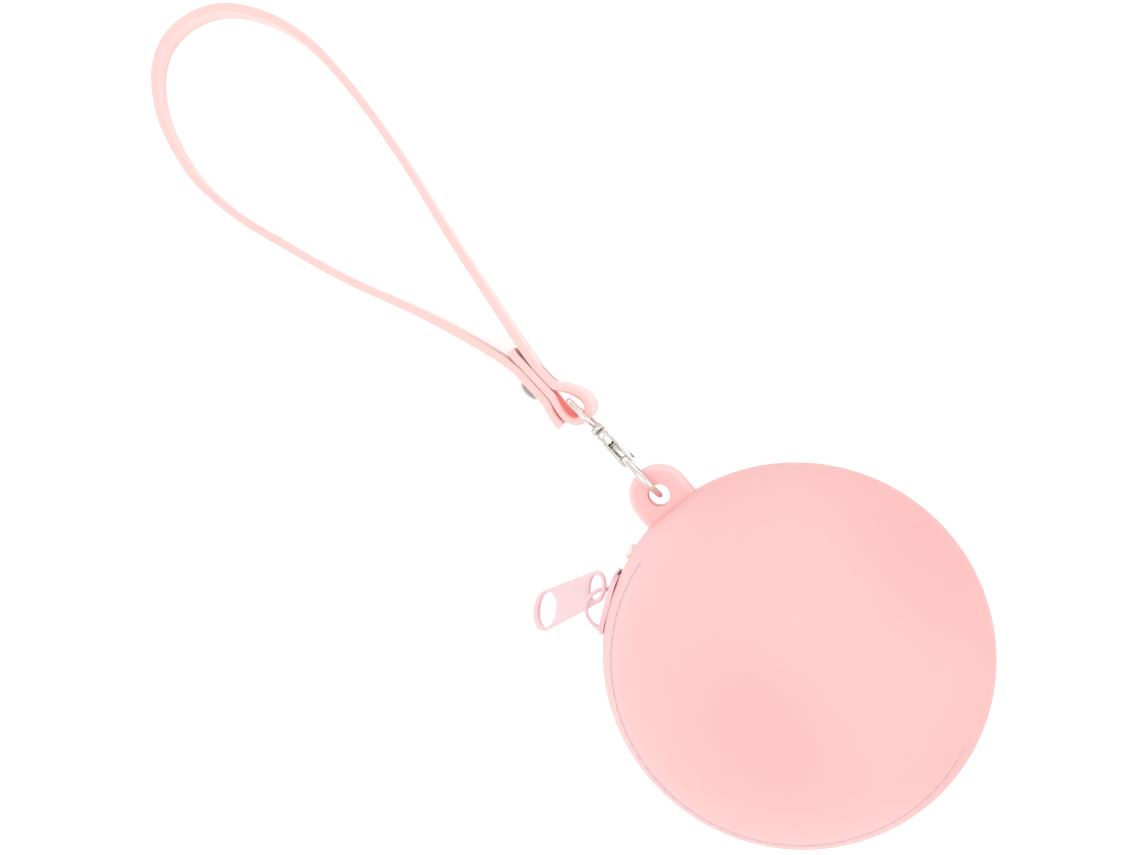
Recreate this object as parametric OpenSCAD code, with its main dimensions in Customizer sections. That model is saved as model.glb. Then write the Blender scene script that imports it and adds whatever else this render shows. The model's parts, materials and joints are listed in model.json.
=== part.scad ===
// Zip-round coin purse with a hanging tab, a zipper round one side, a lobster clasp and a wrist strap.
// Millimetres, +Z up. The origin is on the resting surface under the centre of the disc.
// The tab, the clasp and the strap run toward +Y.

/* [Purse] */
// radius of the purse at its rim
rim_r = 42.9; // [30:0.1:60]
// half of the height of the full dome pair
half_h = 19.3; // [10:0.1:30]
// how much of the lower dome is cut away to make the flat foot
foot_cut = 0.3; // [0.1:0.1:2]
// roundness of the domes, 2 is an ellipse
dome_n = 2.3; // [1.8:0.05:3.5]
// thickness of the silicone wall
wall_t = 2.0; // [1.2:0.1:4]
// thickness of the wall along the sewn band
band_wall = 1.1; // [0.6:0.1:2]
// height of the sewn band above and below the middle
band_h = 10; // [5:0.5:14]
// opening between the two rims
rim_gap = 6.4; // [4:0.1:10]
// greatest opening angle of the front flap
open_max = 35; // [10:1:60]
// space between the flap and the strip that bends
flap_clear = 0.05; // [0.02:0.01:0.3]

/* [Tab] */
// distance from the rim to the centre of the hole
tab_reach = 3.7; // [2:0.1:20]
// half of the width of the tab
tab_r = 6.6; // [4:0.1:12]
// thickness of the tab
tab_t = 3; // [1.5:0.1:6]
// diameter of the hole in the tab
tab_hole = 4.8; // [3:0.1:8]

/* [Zipper] */
// angle from the tab to the start of the zipper
zip_start = 16.4; // [12:0.1:60]
// half of the angle that the zipper covers
zip_half = 93.55; // [60:0.05:120]
// angle left free at each end of the tapes
zip_end_free = 1.2; // [0.5:0.1:5]
// space between the wall and the tape
tape_clear = 0.05; // [0.02:0.01:0.3]
// thickness of the woven tape
tape_t = 0.45; // [0.2:0.05:1]
// half of the space between the two tapes
chain_half_gap = 0.5; // [0.4:0.05:1.5]
// depth of the coils outward from the tapes
coil_depth = 0.9; // [0.7:0.01:3]
// height of each coil
coil_h = 2.6; // [1:0.1:4]
// space between the coils and the tapes
coil_clear = 0.02; // [0.01:0.01:0.2]
// angle covered by each stop
stop_deg = 2.2; // [1:0.1:4]
// how far a stop stands out from its coil
stop_out = 0.35; // [0.2:0.05:1]
// height of a stop
stop_h = 2.2; // [1:0.1:4]

/* [Stitching] */
// distance of the stitches from the edge of the thin band
stitch_in = 1.5; // [0.5:0.1:6]
// diameter of the thread
thread_d = 0.5; // [0.2:0.05:1]
// space between the thread and the wall
thread_clear = 0.04; // [0.01:0.01:0.2]

/* [Slider] */
// angle from the start of the tapes to the middle of the slider
slider_place = 16.9; // [12:0.1:170]
// space between the coils and the outer plate
slider_clear = 0.33; // [0.2:0.01:1]
// thickness of the plates
plate_t = 0.8; // [0.5:0.05:1.5]
// half of the height of the outer plate
plate_half_w = 4.6; // [3:0.1:8]
// angle covered by the plates
plate_deg = 20.8; // [10:0.1:30]
// space between the tapes and the inner plate
inner_clear = 0.4; // [0.2:0.05:2]
// half of the height of the inner plate
inner_half_w = 4.0; // [2:0.1:6]
// thickness of the divider between the plates
divider_t = 0.6; // [0.4:0.05:1]
// angle covered by the divider
divider_deg = 6.6; // [3:0.1:12]
// depth of the flange under the lower coil
flange_d = 0.2; // [0.1:0.05:1]
// how far the bridge stands out from the outer plate
bridge_h = 4.3; // [2:0.1:8]
// length of the bridge along the plate
bridge_l = 9.8; // [6:0.1:14]
// diameter of the wire of the bridge
bridge_wire = 0.8; // [0.5:0.05:1.5]
// how far the bridge is from the middle of the plate
bridge_off = 1.8; // [-3:0.1:3]

/* [Pull] */
// thickness of the pull
pull_t = 0.8; // [0.5:0.05:2]
// diameter of the small hole
eye_d = 5.6; // [3:0.1:8]
// radius of the end at the small hole
eye_r = 3.7; // [2.5:0.1:6]
// diameter of the large hole
ring_d = 7.9; // [4:0.1:10]
// radius of the end at the large hole
ring_r = 4.7; // [4:0.1:8]
// distance between the centres of the two holes
hole_pitch = 20.3; // [12:0.1:40]
// width of the wall beyond the large hole
tip_wall = 2.0; // [0.8:0.1:4]
// distance from the outer plate to the line that the pull turns on
hang_out = 2.0; // [1:0.05:4]
// distance from that line down to the centre of the small hole
hang_down = 1.35; // [0:0.05:3]
// distance of the centre of the small hole along the bridge
hang_along = -2.1; // [-5:0.05:5]
// how far the pull hangs down at rest
pull_droop = 51; // [0:1:90]
// how far the pull is turned in its own plane
pull_turn = 34.5; // [-60:0.1:60]

/* [Clasp] */
// direction of the clasp
clasp_deg = 97.05; // [60:0.05:140]
// how far the clasp slopes down
clasp_slope = 17; // [0:0.1:40]
// thickness of the hook
hook_t = 1.4; // [1:0.1:2.3]
// width of the hook
hook_w = 1.4; // [1:0.1:2.3]
// width of the body of the clasp
body_w = 3.1; // [2.5:0.1:6]
// width of the slot in the body
slot_w = 1.4; // [0.8:0.1:3]
// space on each side of the lever
lever_clear = 0.12; // [0.05:0.01:0.3]
// diameter of the lever's pin
pin_d = 1.2; // [0.8:0.05:2]
// space round the pins
pin_clear = 0.05; // [0.02:0.01:0.1]
// diameter of the round end of the body
end_d = 3.8; // [3:0.1:8]
// diameter of the shank of the swivel post
post_d = 1.5; // [1:0.1:4]
// diameter of the head of the swivel post
head_d = 2.3; // [1.5:0.1:5]
// diameter of the collar of the bail
collar_d = 4.4; // [3:0.1:8]
// diameter of the wire of the bail
bail_wire = 1.15; // [0.8:0.05:2]
// inner height of the bail
bail_in_h = 11.8; // [6:0.1:20]
// distance from the hole to the far side of the bail
bail_far = 28.4; // [26:0.1:50]
// distance from the hole to the near side of the bail
bail_near = 20.4; // [20.2:0.1:24]
// how far the clasp is turned about its own length
clasp_roll = 8; // [-20:1:20]
// outer diameter of the spring
spring_d = 1.2; // [0.6:0.05:2]
// diameter of the wire of the spring
spring_wire = 0.22; // [0.1:0.01:0.5]
// turns of the spring
spring_turns = 4; // [2:0.5:8]

/* [Strap] */
// width of the strap
strap_w = 9.3; // [5:0.1:20]
// thickness of the strap
strap_t = 1.7; // [1:0.1:3]
// height of the lower edge above the resting surface
strap_rise = 0.1; // [0:0.05:2]
// how far the strap leans at its far end
strap_lean = 12.7; // [0:0.1:30]
// how far the strap leans at the rivet
rivet_lean = 7; // [0:0.1:20]
// space between the layers of the strap at the rivet
layer_gap = 0.25; // [0.1:0.05:1]
// pieces of each part of the route
strap_steps = 2; // [1:1:4]
// diameter of the shank of the rivet
shank_d = 2.4; // [1.5:0.1:5]
// space round the shank in the strap
shank_clear = 0.05; // [0.02:0.01:0.3]
// diameter of the caps of the rivet
cap_d = 5.4; // [4:0.1:8]
// height of the cap of the rivet
cap_h = 1.25; // [1.1:0.05:3]
// height of the head of the rivet's post
post_h = 0.65; // [0.5:0.05:3]

/* [Hidden] */
$fn = 72;
zm = half_h - foot_cut;
tab_y = rim_r + tab_reach;
zip_mid = 90 + zip_start + zip_half;
stitch_z = band_h - stitch_in;
fold_x = rim_r * cos(zip_half);
start_deg = zip_mid - zip_half + zip_end_free;
chain_deg = 2 * (zip_half - zip_end_free);
open_slope = tan(open_max + 3);
tape_r_drop = band_wall + tape_clear;
function dome_r(a, b, z) = a * pow(1 - pow(abs(z) / b, dome_n), 1 / dome_n);
function tape_out(z) = dome_r(rim_r - tape_r_drop, half_h - tape_r_drop, z);
coil_in_r = rim_r - tape_r_drop + coil_clear;
coil_r = coil_in_r + coil_depth;
slider_deg = start_deg + slider_place;
slider_in_r = coil_r + slider_clear;
inner_plate_r = tape_out(inner_half_w) - tape_t - inner_clear;
plate_out_r = slider_in_r + plate_t;
plate_half_l = slider_in_r * sin(plate_deg / 2) - 0.15;
bridge_rr = (pow(bridge_l / 2, 2) + pow(bridge_h, 2)) / (2 * bridge_h);
bridge_x = plate_out_r + bridge_h - bridge_rr;
pull_line_r = plate_out_r + hang_out;
pull_end = hole_pitch + ring_d / 2 + tip_wall - ring_r;
bail_half = bail_in_h / 2 + bail_wire / 2;
bar_x = -sin(clasp_deg - 90) * cos(clasp_slope) * bail_far;
bar_y = tab_y + cos(clasp_deg - 90) * cos(clasp_slope) * bail_far;
bar_z = zm - sin(clasp_slope) * bail_far;
strap_mid = strap_rise + strap_w / 2;
lever_w = slot_w - 2 * lever_clear;
pin_y = 11;
pin_z = -1;
spring_y = 14.2;
spring_bottom = -1.35;
spring_top = 0.35;
end_from = 15.2;
end_to = 19.3;
rivet_x = bar_x - 3.55;
rivet_y = bar_y + 8.95;
rivet_turn = 4;
lean_heading = 13;
layer_pitch = strap_t + layer_gap;
cap_out = 1.5 * strap_t + layer_gap + 0.02;
FRONT_DEG = zip_mid;
pink = [1, 0.78, 0.77];
lilac = [0.93, 0.8, 0.84];
silver = [0.75, 0.75, 0.77];

// point of a dome with the given half sizes
function dome_p(a, b, t, s) = [a * pow(cos(t), 2 / dome_n), s * b * pow(sin(t), 2 / dome_n)];
// angle at which the lower dome reaches the foot
foot_t = asin(pow(zm / half_h, dome_n / 2));
function outer_pts() = concat(
    [[0, -zm]],
    [for (i = [18:-1:0]) dome_p(rim_r, half_h, foot_t * i / 18, -1)],
    [for (i = [1:19]) dome_p(rim_r, half_h, 90 * i / 20, 1)],
    [[0, half_h]]);
function inner_pts() = concat(
    [[0, half_h - wall_t]],
    [for (i = [17:-1:0]) dome_p(rim_r - wall_t, half_h - wall_t, 90 * i / 18, 1)],
    [for (i = [1:17]) dome_p(rim_r - wall_t, half_h - wall_t, 90 * i / 18, -1)],
    [[0, wall_t - half_h]]);
function arc_pts(x, y, r, a0, a1, k) = [for (i = [0:k]) let (a = a0 + (a1 - a0) * i / k) [x + r * cos(a), y + r * sin(a)]];
function mirror_x(p) = [for (i = [len(p) - 1:-1:0]) [-p[i][0], p[i][1]]];

// part of a ring that follows the zipper
module zip_arc(from, sweep) {
    rotate([0, 0, from])
        rotate_extrude(angle = sweep, $fn = 120)
            children();
}

module whole_shell() {
    difference() {
        rotate_extrude($fn = 120)
            polygon(concat(outer_pts(), inner_pts()));
        zip_arc(zip_mid - zip_half, 2 * zip_half)
            polygon(concat(
                [[rim_r - 8, -band_h]],
                [for (i = [0:12]) let (z = -band_h + 2 * band_h * i / 12) [dome_r(rim_r - band_wall, half_h - band_wall, z), z]],
                [[rim_r - 8, band_h]]));
    }
}

// region above the seam that bends, with its sides moved by a clearance
module wedge(c) {
    rotate([0, 0, FRONT_DEG])
        rotate([90, 0, 0])
            linear_extrude(height = 120, center = true)
                polygon([[fold_x - c, 0.3 + c], [fold_x - 0.3 * open_slope - c, 0.3 + c],
                    [fold_x - 25 * open_slope - c, 25 + c], [fold_x - c, 25 + c]]);
}

// outline of the tab
tab_in = sqrt(pow(rim_r, 2) - pow(tab_r, 2));
module tab() {
    difference() {
        translate([0, 0, -tab_t / 2])
            linear_extrude(height = tab_t)
                polygon(concat([[-tab_r, tab_in - 1], [tab_r, tab_in - 1]], arc_pts(0, tab_y, tab_r, 0, 180, 32)));
        translate([0, tab_y, -tab_t])
            cylinder(d = tab_hole, h = 2 * tab_t);
    }
}

module body_shell() {
    color(pink)
        translate([0, 0, zm])
            union() {
                difference() {
                    whole_shell();
                    rotate([0, 0, FRONT_DEG])
                        translate([fold_x, -60, -rim_gap / 2])
                            cube([60, 120, 40]);
                    rotate([0, 0, FRONT_DEG])
                        translate([fold_x - 0.3 * open_slope - 0.01, -60, 0.3])
                            cube([2, 120, 40]);
                    wedge(0);
                }
                tab();
            }
}

module front_flap() {
    color(pink)
        translate([0, 0, zm])
            intersection() {
                whole_shell();
                rotate([0, 0, FRONT_DEG])
                    translate([fold_x + flap_clear, -60, rim_gap / 2])
                        cube([60, 120, 40]);
            }
}

module fold_band() {
    color(pink)
        translate([0, 0, zm])
            intersection() {
                whole_shell();
                translate([0, 0, 0])
                    difference() {
                        wedge(0);
                        rotate([0, 0, FRONT_DEG])
                            translate([fold_x - flap_clear, -60, -1])
                                cube([20, 120, 40]);
                        rotate([0, 0, FRONT_DEG])
                            translate([-60, -60, -1])
                                cube([120, 120, 1.3 + flap_clear]);
                        rotate([0, 0, FRONT_DEG])
                            rotate([90, 0, 0])
                                linear_extrude(height = 120, center = true)
                                    polygon([[fold_x + flap_clear, 0], [fold_x - 30 * open_slope + flap_clear, 30],
                                        [fold_x - 60, 30], [fold_x - 60, 0]]);
                    }
            }
}

function tape_pts(s) = concat(
    [for (i = [0:8]) let (z = chain_half_gap + (band_h - 0.1 - chain_half_gap) * i / 8) [tape_out(z), s * z]],
    [for (i = [8:-1:0]) let (z = chain_half_gap + (band_h - 0.1 - chain_half_gap) * i / 8) [tape_out(z) - tape_t, s * z]]);

module zipper_tape(s) {
    translate([0, 0, zm])
        zip_arc(start_deg, chain_deg)
            polygon(tape_pts(s));
}

module zipper_tape_lower() {
    color("white")
        zipper_tape(-1);
}

module zipper_tape_upper() {
    color("white")
        zipper_tape(1);
}

coil_mid_r = (coil_in_r + coil_r) / 2;
coil_half = (coil_r - coil_in_r) / 2;
function coil_pts(s) = [for (i = [0:23]) let (a = 15 * i)
    [coil_mid_r + coil_half * sign(cos(a)) * pow(abs(cos(a)), 0.6), s * (chain_half_gap + coil_h / 2 + coil_h / 2 * sign(sin(a)) * pow(abs(sin(a)), 0.6))]];

module zipper_coil(s) {
    translate([0, 0, zm])
        zip_arc(start_deg + 0.2, chain_deg - 0.4)
            polygon(coil_pts(s));
}

module zipper_coil_lower() {
    color("pink")
        zipper_coil(-1);
}

module zipper_coil_upper() {
    color("pink")
        zipper_coil(1);
}

module stop_piece(from, s) {
    translate([0, 0, zm + s * (chain_half_gap + coil_h / 2)])
        zip_arc(from, stop_deg)
            translate([coil_r + 0.03, -stop_h / 2])
                square([stop_out, stop_h]);
}

module stop_closed_lower() {
    color("white")
        stop_piece(start_deg + 0.3, -1);
}

module stop_closed_upper() {
    color("white")
        stop_piece(start_deg + 0.3, 1);
}

module stop_open() {
    color("white")
        stop_piece(start_deg + chain_deg - stop_deg - 0.3, -1);
}

module stitching(s) {
    translate([0, 0, zm])
        zip_arc(start_deg + 1, chain_deg - 2)
            translate([dome_r(rim_r, half_h, stitch_z) + thread_d / 2 + thread_clear, s * (stitch_z + 0.08)])
                circle(d = thread_d, $fn = 24);
}

module stitching_lower() {
    color("white")
        stitching(-1);
}

module stitching_upper() {
    color("white")
        stitching(1);
}

module at_slider() {
    translate([0, 0, zm])
        rotate([0, 0, slider_deg])
            children();
}

module slider_body() {
    color(lilac)
        at_slider()
            union() {
                intersection() {
                    zip_arc(-plate_deg / 2, plate_deg)
                        translate([slider_in_r, -plate_half_w])
                            square([plate_t, 2 * plate_half_w]);
                    rotate([90, 0, 90])
                        linear_extrude(height = 60)
                            polygon(concat(
                                arc_pts(2.7 - plate_half_l, 1.9, 2.7, 180, 90, 8), arc_pts(plate_half_l - 3.1, 1.2, 2.9, 75, 0, 8),
                                arc_pts(plate_half_l - 3.1, -1.2, 2.9, 0, -75, 8), arc_pts(2.7 - plate_half_l, -1.9, 2.7, -90, -180, 8)));
                }
                zip_arc(-plate_deg / 2 + 0.4, plate_deg - 0.8)
                    translate([inner_plate_r - plate_t, -inner_half_w])
                        square([plate_t, 2 * inner_half_w]);
                zip_arc(-plate_deg / 2 + 1, divider_deg)
                    translate([inner_plate_r - 0.2, -divider_t / 2])
                        square([slider_in_r - inner_plate_r + 0.4, divider_t]);
                zip_arc(-plate_deg / 2 + 3.5, plate_deg - 7)
                    translate([slider_in_r - flange_d, -3.6 - 0.6])
                        square([flange_d + 0.2, 0.5]);
                translate([bridge_x, bridge_off, 0])
                    rotate([0, 0, -91])
                        rotate_extrude(angle = 182)
                            translate([bridge_rr - bridge_wire / 2, 0])
                                circle(d = bridge_wire, $fn = 24);
            }
}

function pull_half(x) = eye_r + (ring_r - eye_r) * x / pull_end;
function pull_pts() = concat(
    arc_pts(0, 0, eye_r, 92, 268, 18),
    arc_pts(pull_end, 0, ring_r, -88, 88, 18));

module slider_pull() {
    color(lilac)
        at_slider()
            translate([pull_line_r, 0, 0])
                rotate([0, pull_droop, 0])
                    translate([hang_down, hang_along, 0])
                        rotate([0, 0, pull_turn])
                            difference() {
                                translate([0, 0, -pull_t / 2])
                                    linear_extrude(height = pull_t)
                                        polygon(pull_pts());
                                translate([0, 0, -pull_t])
                                    cylinder(d = eye_d, h = 2 * pull_t);
                                translate([hole_pitch, 0, -pull_t])
                                    cylinder(d = ring_d, h = 2 * pull_t);
                            }
}

module at_clasp() {
    translate([0, tab_y, zm])
        rotate([0, 0, clasp_deg - 90])
            rotate([-clasp_slope, 0, 0])
                rotate([0, clasp_roll, 0])
                    children();
}

// flat shape drawn along and above the clasp, with a width across it
module clasp_plate(w) {
    rotate([90, 0, 90])
        linear_extrude(height = w, center = true)
            children();
}

hook_line = [[10.5, 3.9], [8, 5.2], [5, 5.75], [2.2, 4.9], [0.4, 2.6], [-0.1, 0], [0.9, -2.3], [2.8, -3.6], [4.6, -3.9]];
function bez(p0, p1, p2, p3, t) = 0.5 * (2 * p1 + (p2 - p0) * t + (2 * p0 - 5 * p1 + 4 * p2 - p3) * t * t + (3 * p1 - 3 * p2 + p3 - p0) * t * t * t);
function smooth_line(p, k) = concat(
    [for (i = [0:len(p) - 2]) for (j = [0:k - 1])
        bez(p[max(i - 1, 0)], p[i], p[i + 1], p[min(i + 2, len(p) - 1)], j / k)],
    [p[len(p) - 1]]);
function dir_at(p, i) = let (d = p[min(i + 1, len(p) - 1)] - p[max(i - 1, 0)]) d / norm(d);
function side_pts(p, h) = [for (i = [0:len(p) - 1]) let (d = dir_at(p, i)) [p[i][0] - d[1] * h, p[i][1] + d[0] * h]];
function rev(p) = [for (i = [len(p) - 1:-1:0]) p[i]];
hook_smooth = smooth_line(hook_line, 4);
body_line = [[7.6, 4.7], [8.6, 5], [10, 4.6], [12, 3.7], [14, 2.7], [16, 1.9], [16, -1.8], [14, -2.2], [12, -2.3], [10, -2.1],
    [9.3, -1.3], [8.9, 0.6], [8.3, 2.6]];

module clasp_hook() {
    color(silver)
        at_clasp()
            difference() {
                union() {
                    clasp_plate(hook_w)
                        polygon(concat(side_pts(hook_smooth, hook_t / 2), rev(side_pts(hook_smooth, -hook_t / 2))));
                    clasp_plate(body_w)
                        polygon(body_line);
                    translate([0, end_from, 0])
                        rotate([-90, 0, 0])
                            cylinder(d = end_d, h = end_to - end_from);
                }
                clasp_plate(slot_w)
                    polygon([[8.6, 6], [8.6, -1.4], [9, -3], [12.6, -3], [12.6, spring_bottom], [15.5, spring_bottom], [15.5, 6]]);
                translate([0, pin_y, pin_z])
                    rotate([0, 90, 0])
                        cylinder(d = pin_d + 0.02, h = 10, center = true);
                translate([0, 16.1, 0])
                    rotate([-90, 0, 0])
                        cylinder(d = head_d + 0.5, h = 1.9);
                translate([0, 16, 0])
                    rotate([-90, 0, 0])
                        cylinder(d = post_d + 2 * pin_clear, h = 6);
            }
}

module clasp_lever() {
    color(silver)
        at_clasp()
            difference() {
                clasp_plate(lever_w)
                    polygon([[5.4, -3.5], [7, -2.2], [8.6, -0.9], [10, 0.15], [11, 0.5], [12.4, 1.0], [14.9, 1.0], [15, 0.6],
                        [12.6, 0.2], [12.2, -1.2], [11.6, -2], [10.2, -2.3], [9.4, -3.4], [8.5, -3.9], [7.7, -3.6], [5.9, -4.6]]);
                translate([0, pin_y, pin_z])
                    rotate([0, 90, 0])
                        cylinder(d = pin_d + 2 * pin_clear, h = 10, center = true);
            }
}

module clasp_lever_pin() {
    color(silver)
        at_clasp()
            translate([0, pin_y, pin_z])
                rotate([0, 90, 0])
                    cylinder(d = pin_d, h = body_w + 0.2, center = true);
}

spring_n = 10 * spring_turns;
spring_mid_r = spring_d / 2 - spring_wire / 2;
spring_h0 = spring_bottom + spring_wire / 2 + 0.02;
spring_h1 = spring_top - spring_wire / 2;
function spring_ring(i) = let (a = 36 * i, c = [spring_mid_r * cos(a), spring_mid_r * sin(a), spring_h0 + (spring_h1 - spring_h0) * i / spring_n])
    [for (k = [0:5]) let (b = 60 * k) c + spring_wire / 2 * [cos(b) * cos(a), cos(b) * sin(a), sin(b)]];

module clasp_spring() {
    pts = [for (i = [0:spring_n]) each spring_ring(i)];
    sides = [for (i = [0:spring_n - 1]) for (k = [0:5]) let (m = (k + 1) % 6) [6 * i + k, 6 * i + m, 6 * i + 6 + m, 6 * i + 6 + k]];
    color(silver)
        at_clasp()
            translate([0, spring_y, 0])
                polyhedron(points = pts, faces = concat([[5, 4, 3, 2, 1, 0]], sides, [[for (k = [0:5]) 6 * spring_n + k]]));
}

module clasp_swivel_post() {
    color(silver)
        at_clasp()
            rotate([-90, 0, 0])
                union() {
                    translate([0, 0, 16.35])
                        cylinder(d = head_d, h = 1.4);
                    translate([0, 0, 16.5])
                        cylinder(d = post_d, h = bail_near - 16.55);
                }
}

module bail_corner(y, z, r, from) {
    translate([0, y, z])
        rotate([90, 0, 90])
            rotate([0, 0, from])
                rotate_extrude(angle = 90)
                    translate([r, 0])
                        circle(d = bail_wire, $fn = 32);
}

bail_cn = 2.5;
bail_cf = 2.0;
bail_y0 = bail_near + bail_wire / 2;

module clasp_bail() {
    color(silver)
        at_clasp()
            union() {
                difference() {
                    translate([0, end_to + 0.3, 0])
                        rotate([-90, 0, 0])
                            cylinder(d = collar_d, h = bail_y0 - end_to - 0.3);
                    translate([0, end_to, 0])
                        rotate([-90, 0, 0])
                            cylinder(d = post_d + 0.02, h = bail_near - end_to);
                }
                translate([0, bail_y0, bail_cn - bail_half])
                    cylinder(d = bail_wire, h = 2 * (bail_half - bail_cn), $fn = 32);
                translate([0, bail_far, bail_cf - bail_half])
                    cylinder(d = bail_wire, h = 2 * (bail_half - bail_cf), $fn = 32);
                for (s = [-1, 1])
                    translate([0, bail_y0 + bail_cn, s * bail_half])
                        rotate([-90, 0, 0])
                            cylinder(d = bail_wire, h = bail_far - bail_cf - bail_y0 - bail_cn, $fn = 32);
                bail_corner(bail_y0 + bail_cn, bail_half - bail_cn, bail_cn, 90);
                bail_corner(bail_y0 + bail_cn, bail_cn - bail_half, bail_cn, 180);
                bail_corner(bail_far - bail_cf, bail_half - bail_cf, bail_cf, 0);
                bail_corner(bail_far - bail_cf, bail_cf - bail_half, bail_cf, 270);
            }
}

function from_bar(p) = [for (q = p) [bar_x + q[0], bar_y + q[1]]];
function layer(k, from, to, n) = [for (i = [0:n]) let (s = from + (to - from) * i / n)
    [rivet_x + k * layer_pitch * cos(rivet_turn) - s * sin(rivet_turn), rivet_y + k * layer_pitch * sin(rivet_turn) + s * cos(rivet_turn)]];
strap_route = concat(
    from_bar([[-5, -1.8], [-5.4, 0.6], [-5.3, 2.5]]),
    layer(-1, -5, 5, 4),
    from_bar([[-6.8, 18], [-10.1, 26.8], [-13.6, 35.5], [-17.2, 43.3], [-21.2, 51.1], [-25.1, 59.9], [-28.6, 69.9], [-32, 78.6],
        [-33.6, 85.6], [-34.7, 93], [-34.1, 99.5], [-32.1, 108.2], [-28.6, 114.3], [-25.1, 118.4], [-20, 121.4], [-13.8, 122],
        [-7.5, 120.3], [-2, 116.4], [2.9, 109], [5.6, 100.7], [6.4, 92.6], [6.2, 81.9], [5.5, 72.6], [4.8, 64.1], [3.5, 57.7],
        [2.3, 49.4], [1, 39.6], [-0.1, 30.1], [-1.1, 21.4], [-1.5, 16.8]]),
    layer(1, 3.3, -3.3, 3),
    from_bar([[-0.7, 5], [0.1, 4.1], [1.1, 3.1], [2, 1.7], [2.8, 0.2], [3.1, -1.2], [2.9, -2.4], [2.4, -3.2], [1.5, -3.7],
        [0.4, -3.7], [-0.9, -3.3], [-2.4, -2], [-3.1, 0], [-3.2, 2]]),
    layer(0, -5, 5, 4),
    from_bar([[-4.2, 16.1], [-4, 18.2]]));
strap_line = smooth_line(strap_route, strap_steps);
strap_n = len(strap_line);
slope_tan = tan(clasp_slope);
strap_level = 2 * (bar_z - strap_mid) / slope_tan;
function share(v) = max(0, min(1, v));
function strap_lift(y) = y < bar_y
    ? bar_z - strap_mid + slope_tan * (bar_y - y)
    : (bar_z - strap_mid) * pow(share(1 - (y - bar_y) / strap_level), 2);
function strap_turn(y) = rivet_lean * share((y - bar_y + 3.5) / 8) + (strap_lean - rivet_lean) * share((y - bar_y - 18) / 57);
function strap_up(y) = let (b = strap_turn(y)) [cos(lean_heading) * sin(b), sin(lean_heading) * sin(b), cos(b)];
function strap_mid_at(p) = let (u = strap_up(p[1])) [p[0], p[1], strap_mid] + u * strap_lift(p[1]) / u[2];
function strap_ring(i) = let (p = strap_line[i], d = dir_at(strap_line, i), c = strap_mid_at(p),
        s = strap_t / 2 * [-d[1], d[0], 0], v = strap_w / 2 * strap_up(p[1]))
    [c + s - v, c + s + v, c - s + v, c - s - v];

// place of the rivet, with its axis across the layers
module at_rivet() {
    translate(strap_mid_at([rivet_x, rivet_y]))
        rotate([0, 0, rivet_turn])
            rotate([0, atan(cos(lean_heading - rivet_turn) * tan(rivet_lean)), 0])
                rotate([0, 90, 0])
                    children();
}

module strap() {
    pts = [for (i = [0:strap_n - 1]) each strap_ring(i)];
    sides = [for (i = [0:strap_n - 2]) for (k = [0:3]) let (m = (k + 1) % 4) [4 * i + k, 4 * i + m, 4 * i + 4 + m, 4 * i + 4 + k]];
    color(pink)
        difference() {
            polyhedron(points = pts, faces = concat([[3, 2, 1, 0]], sides, [[for (k = [0:3]) 4 * strap_n - 4 + k]]));
            at_rivet()
                cylinder(d = shank_d + 2 * shank_clear, h = 4 * cap_out, center = true);
        }
}

function cap_pts(h, hole) = concat(
    [[hole, 0], [cap_d / 2, 0], [cap_d / 2, 0.15]],
    [for (i = [0:8]) let (a = 90 * i / 8) [max(0, (cap_d / 2 - 0.2) * cos(a)), 0.3 + (h - 0.3) * sin(a)]],
    hole > 0 ? [[0, 0.9], [hole, 0.9]] : []);

module rivet_cap() {
    color(silver)
        at_rivet()
            translate([0, 0, -cap_out])
                rotate([180, 0, 0])
                    rotate_extrude()
                        polygon(cap_pts(cap_h, 0.82));
}

module rivet_post() {
    color(silver)
        at_rivet()
            union() {
                translate([0, 0, cap_out])
                    rotate_extrude()
                        polygon(cap_pts(post_h, 0));
                translate([0, 0, -cap_out])
                    cylinder(d = shank_d, h = 2 * cap_out + 0.1);
                translate([0, 0, -cap_out - 0.8])
                    cylinder(d = 1.6, h = 2);
            }
}

body_shell();
front_flap();
fold_band();
zipper_tape_lower();
zipper_tape_upper();
zipper_coil_lower();
zipper_coil_upper();
stop_closed_lower();
stop_closed_upper();
stop_open();
stitching_lower();
stitching_upper();
slider_body();
slider_pull();
clasp_bail();
clasp_swivel_post();
clasp_hook();
clasp_lever();
clasp_lever_pin();
clasp_spring();
strap();
rivet_cap();
rivet_post();
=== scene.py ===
"""Looks of the zip-round coin purse with its clasp and wrist strap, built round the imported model.

Sizes are in millimetres and degrees until a mesh is made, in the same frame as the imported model: the origin
is on the resting surface under the centre of the disc, +Z is up and +Y points to the hanging tab and the
strap.
The domes, the coils and the strap follow formulas, so their meshes are worked out point by point. The rivet's
heads, the beads and the holes are spun, plates come from flat curves, and the floor is a primitive.
"""

from __future__ import annotations

import json
import logging
import math
from dataclasses import dataclass, field
from enum import Enum
from typing import Callable, Dict, List, Optional, Sequence, Tuple

import bpy
from mathutils import Matrix, Vector

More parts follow.
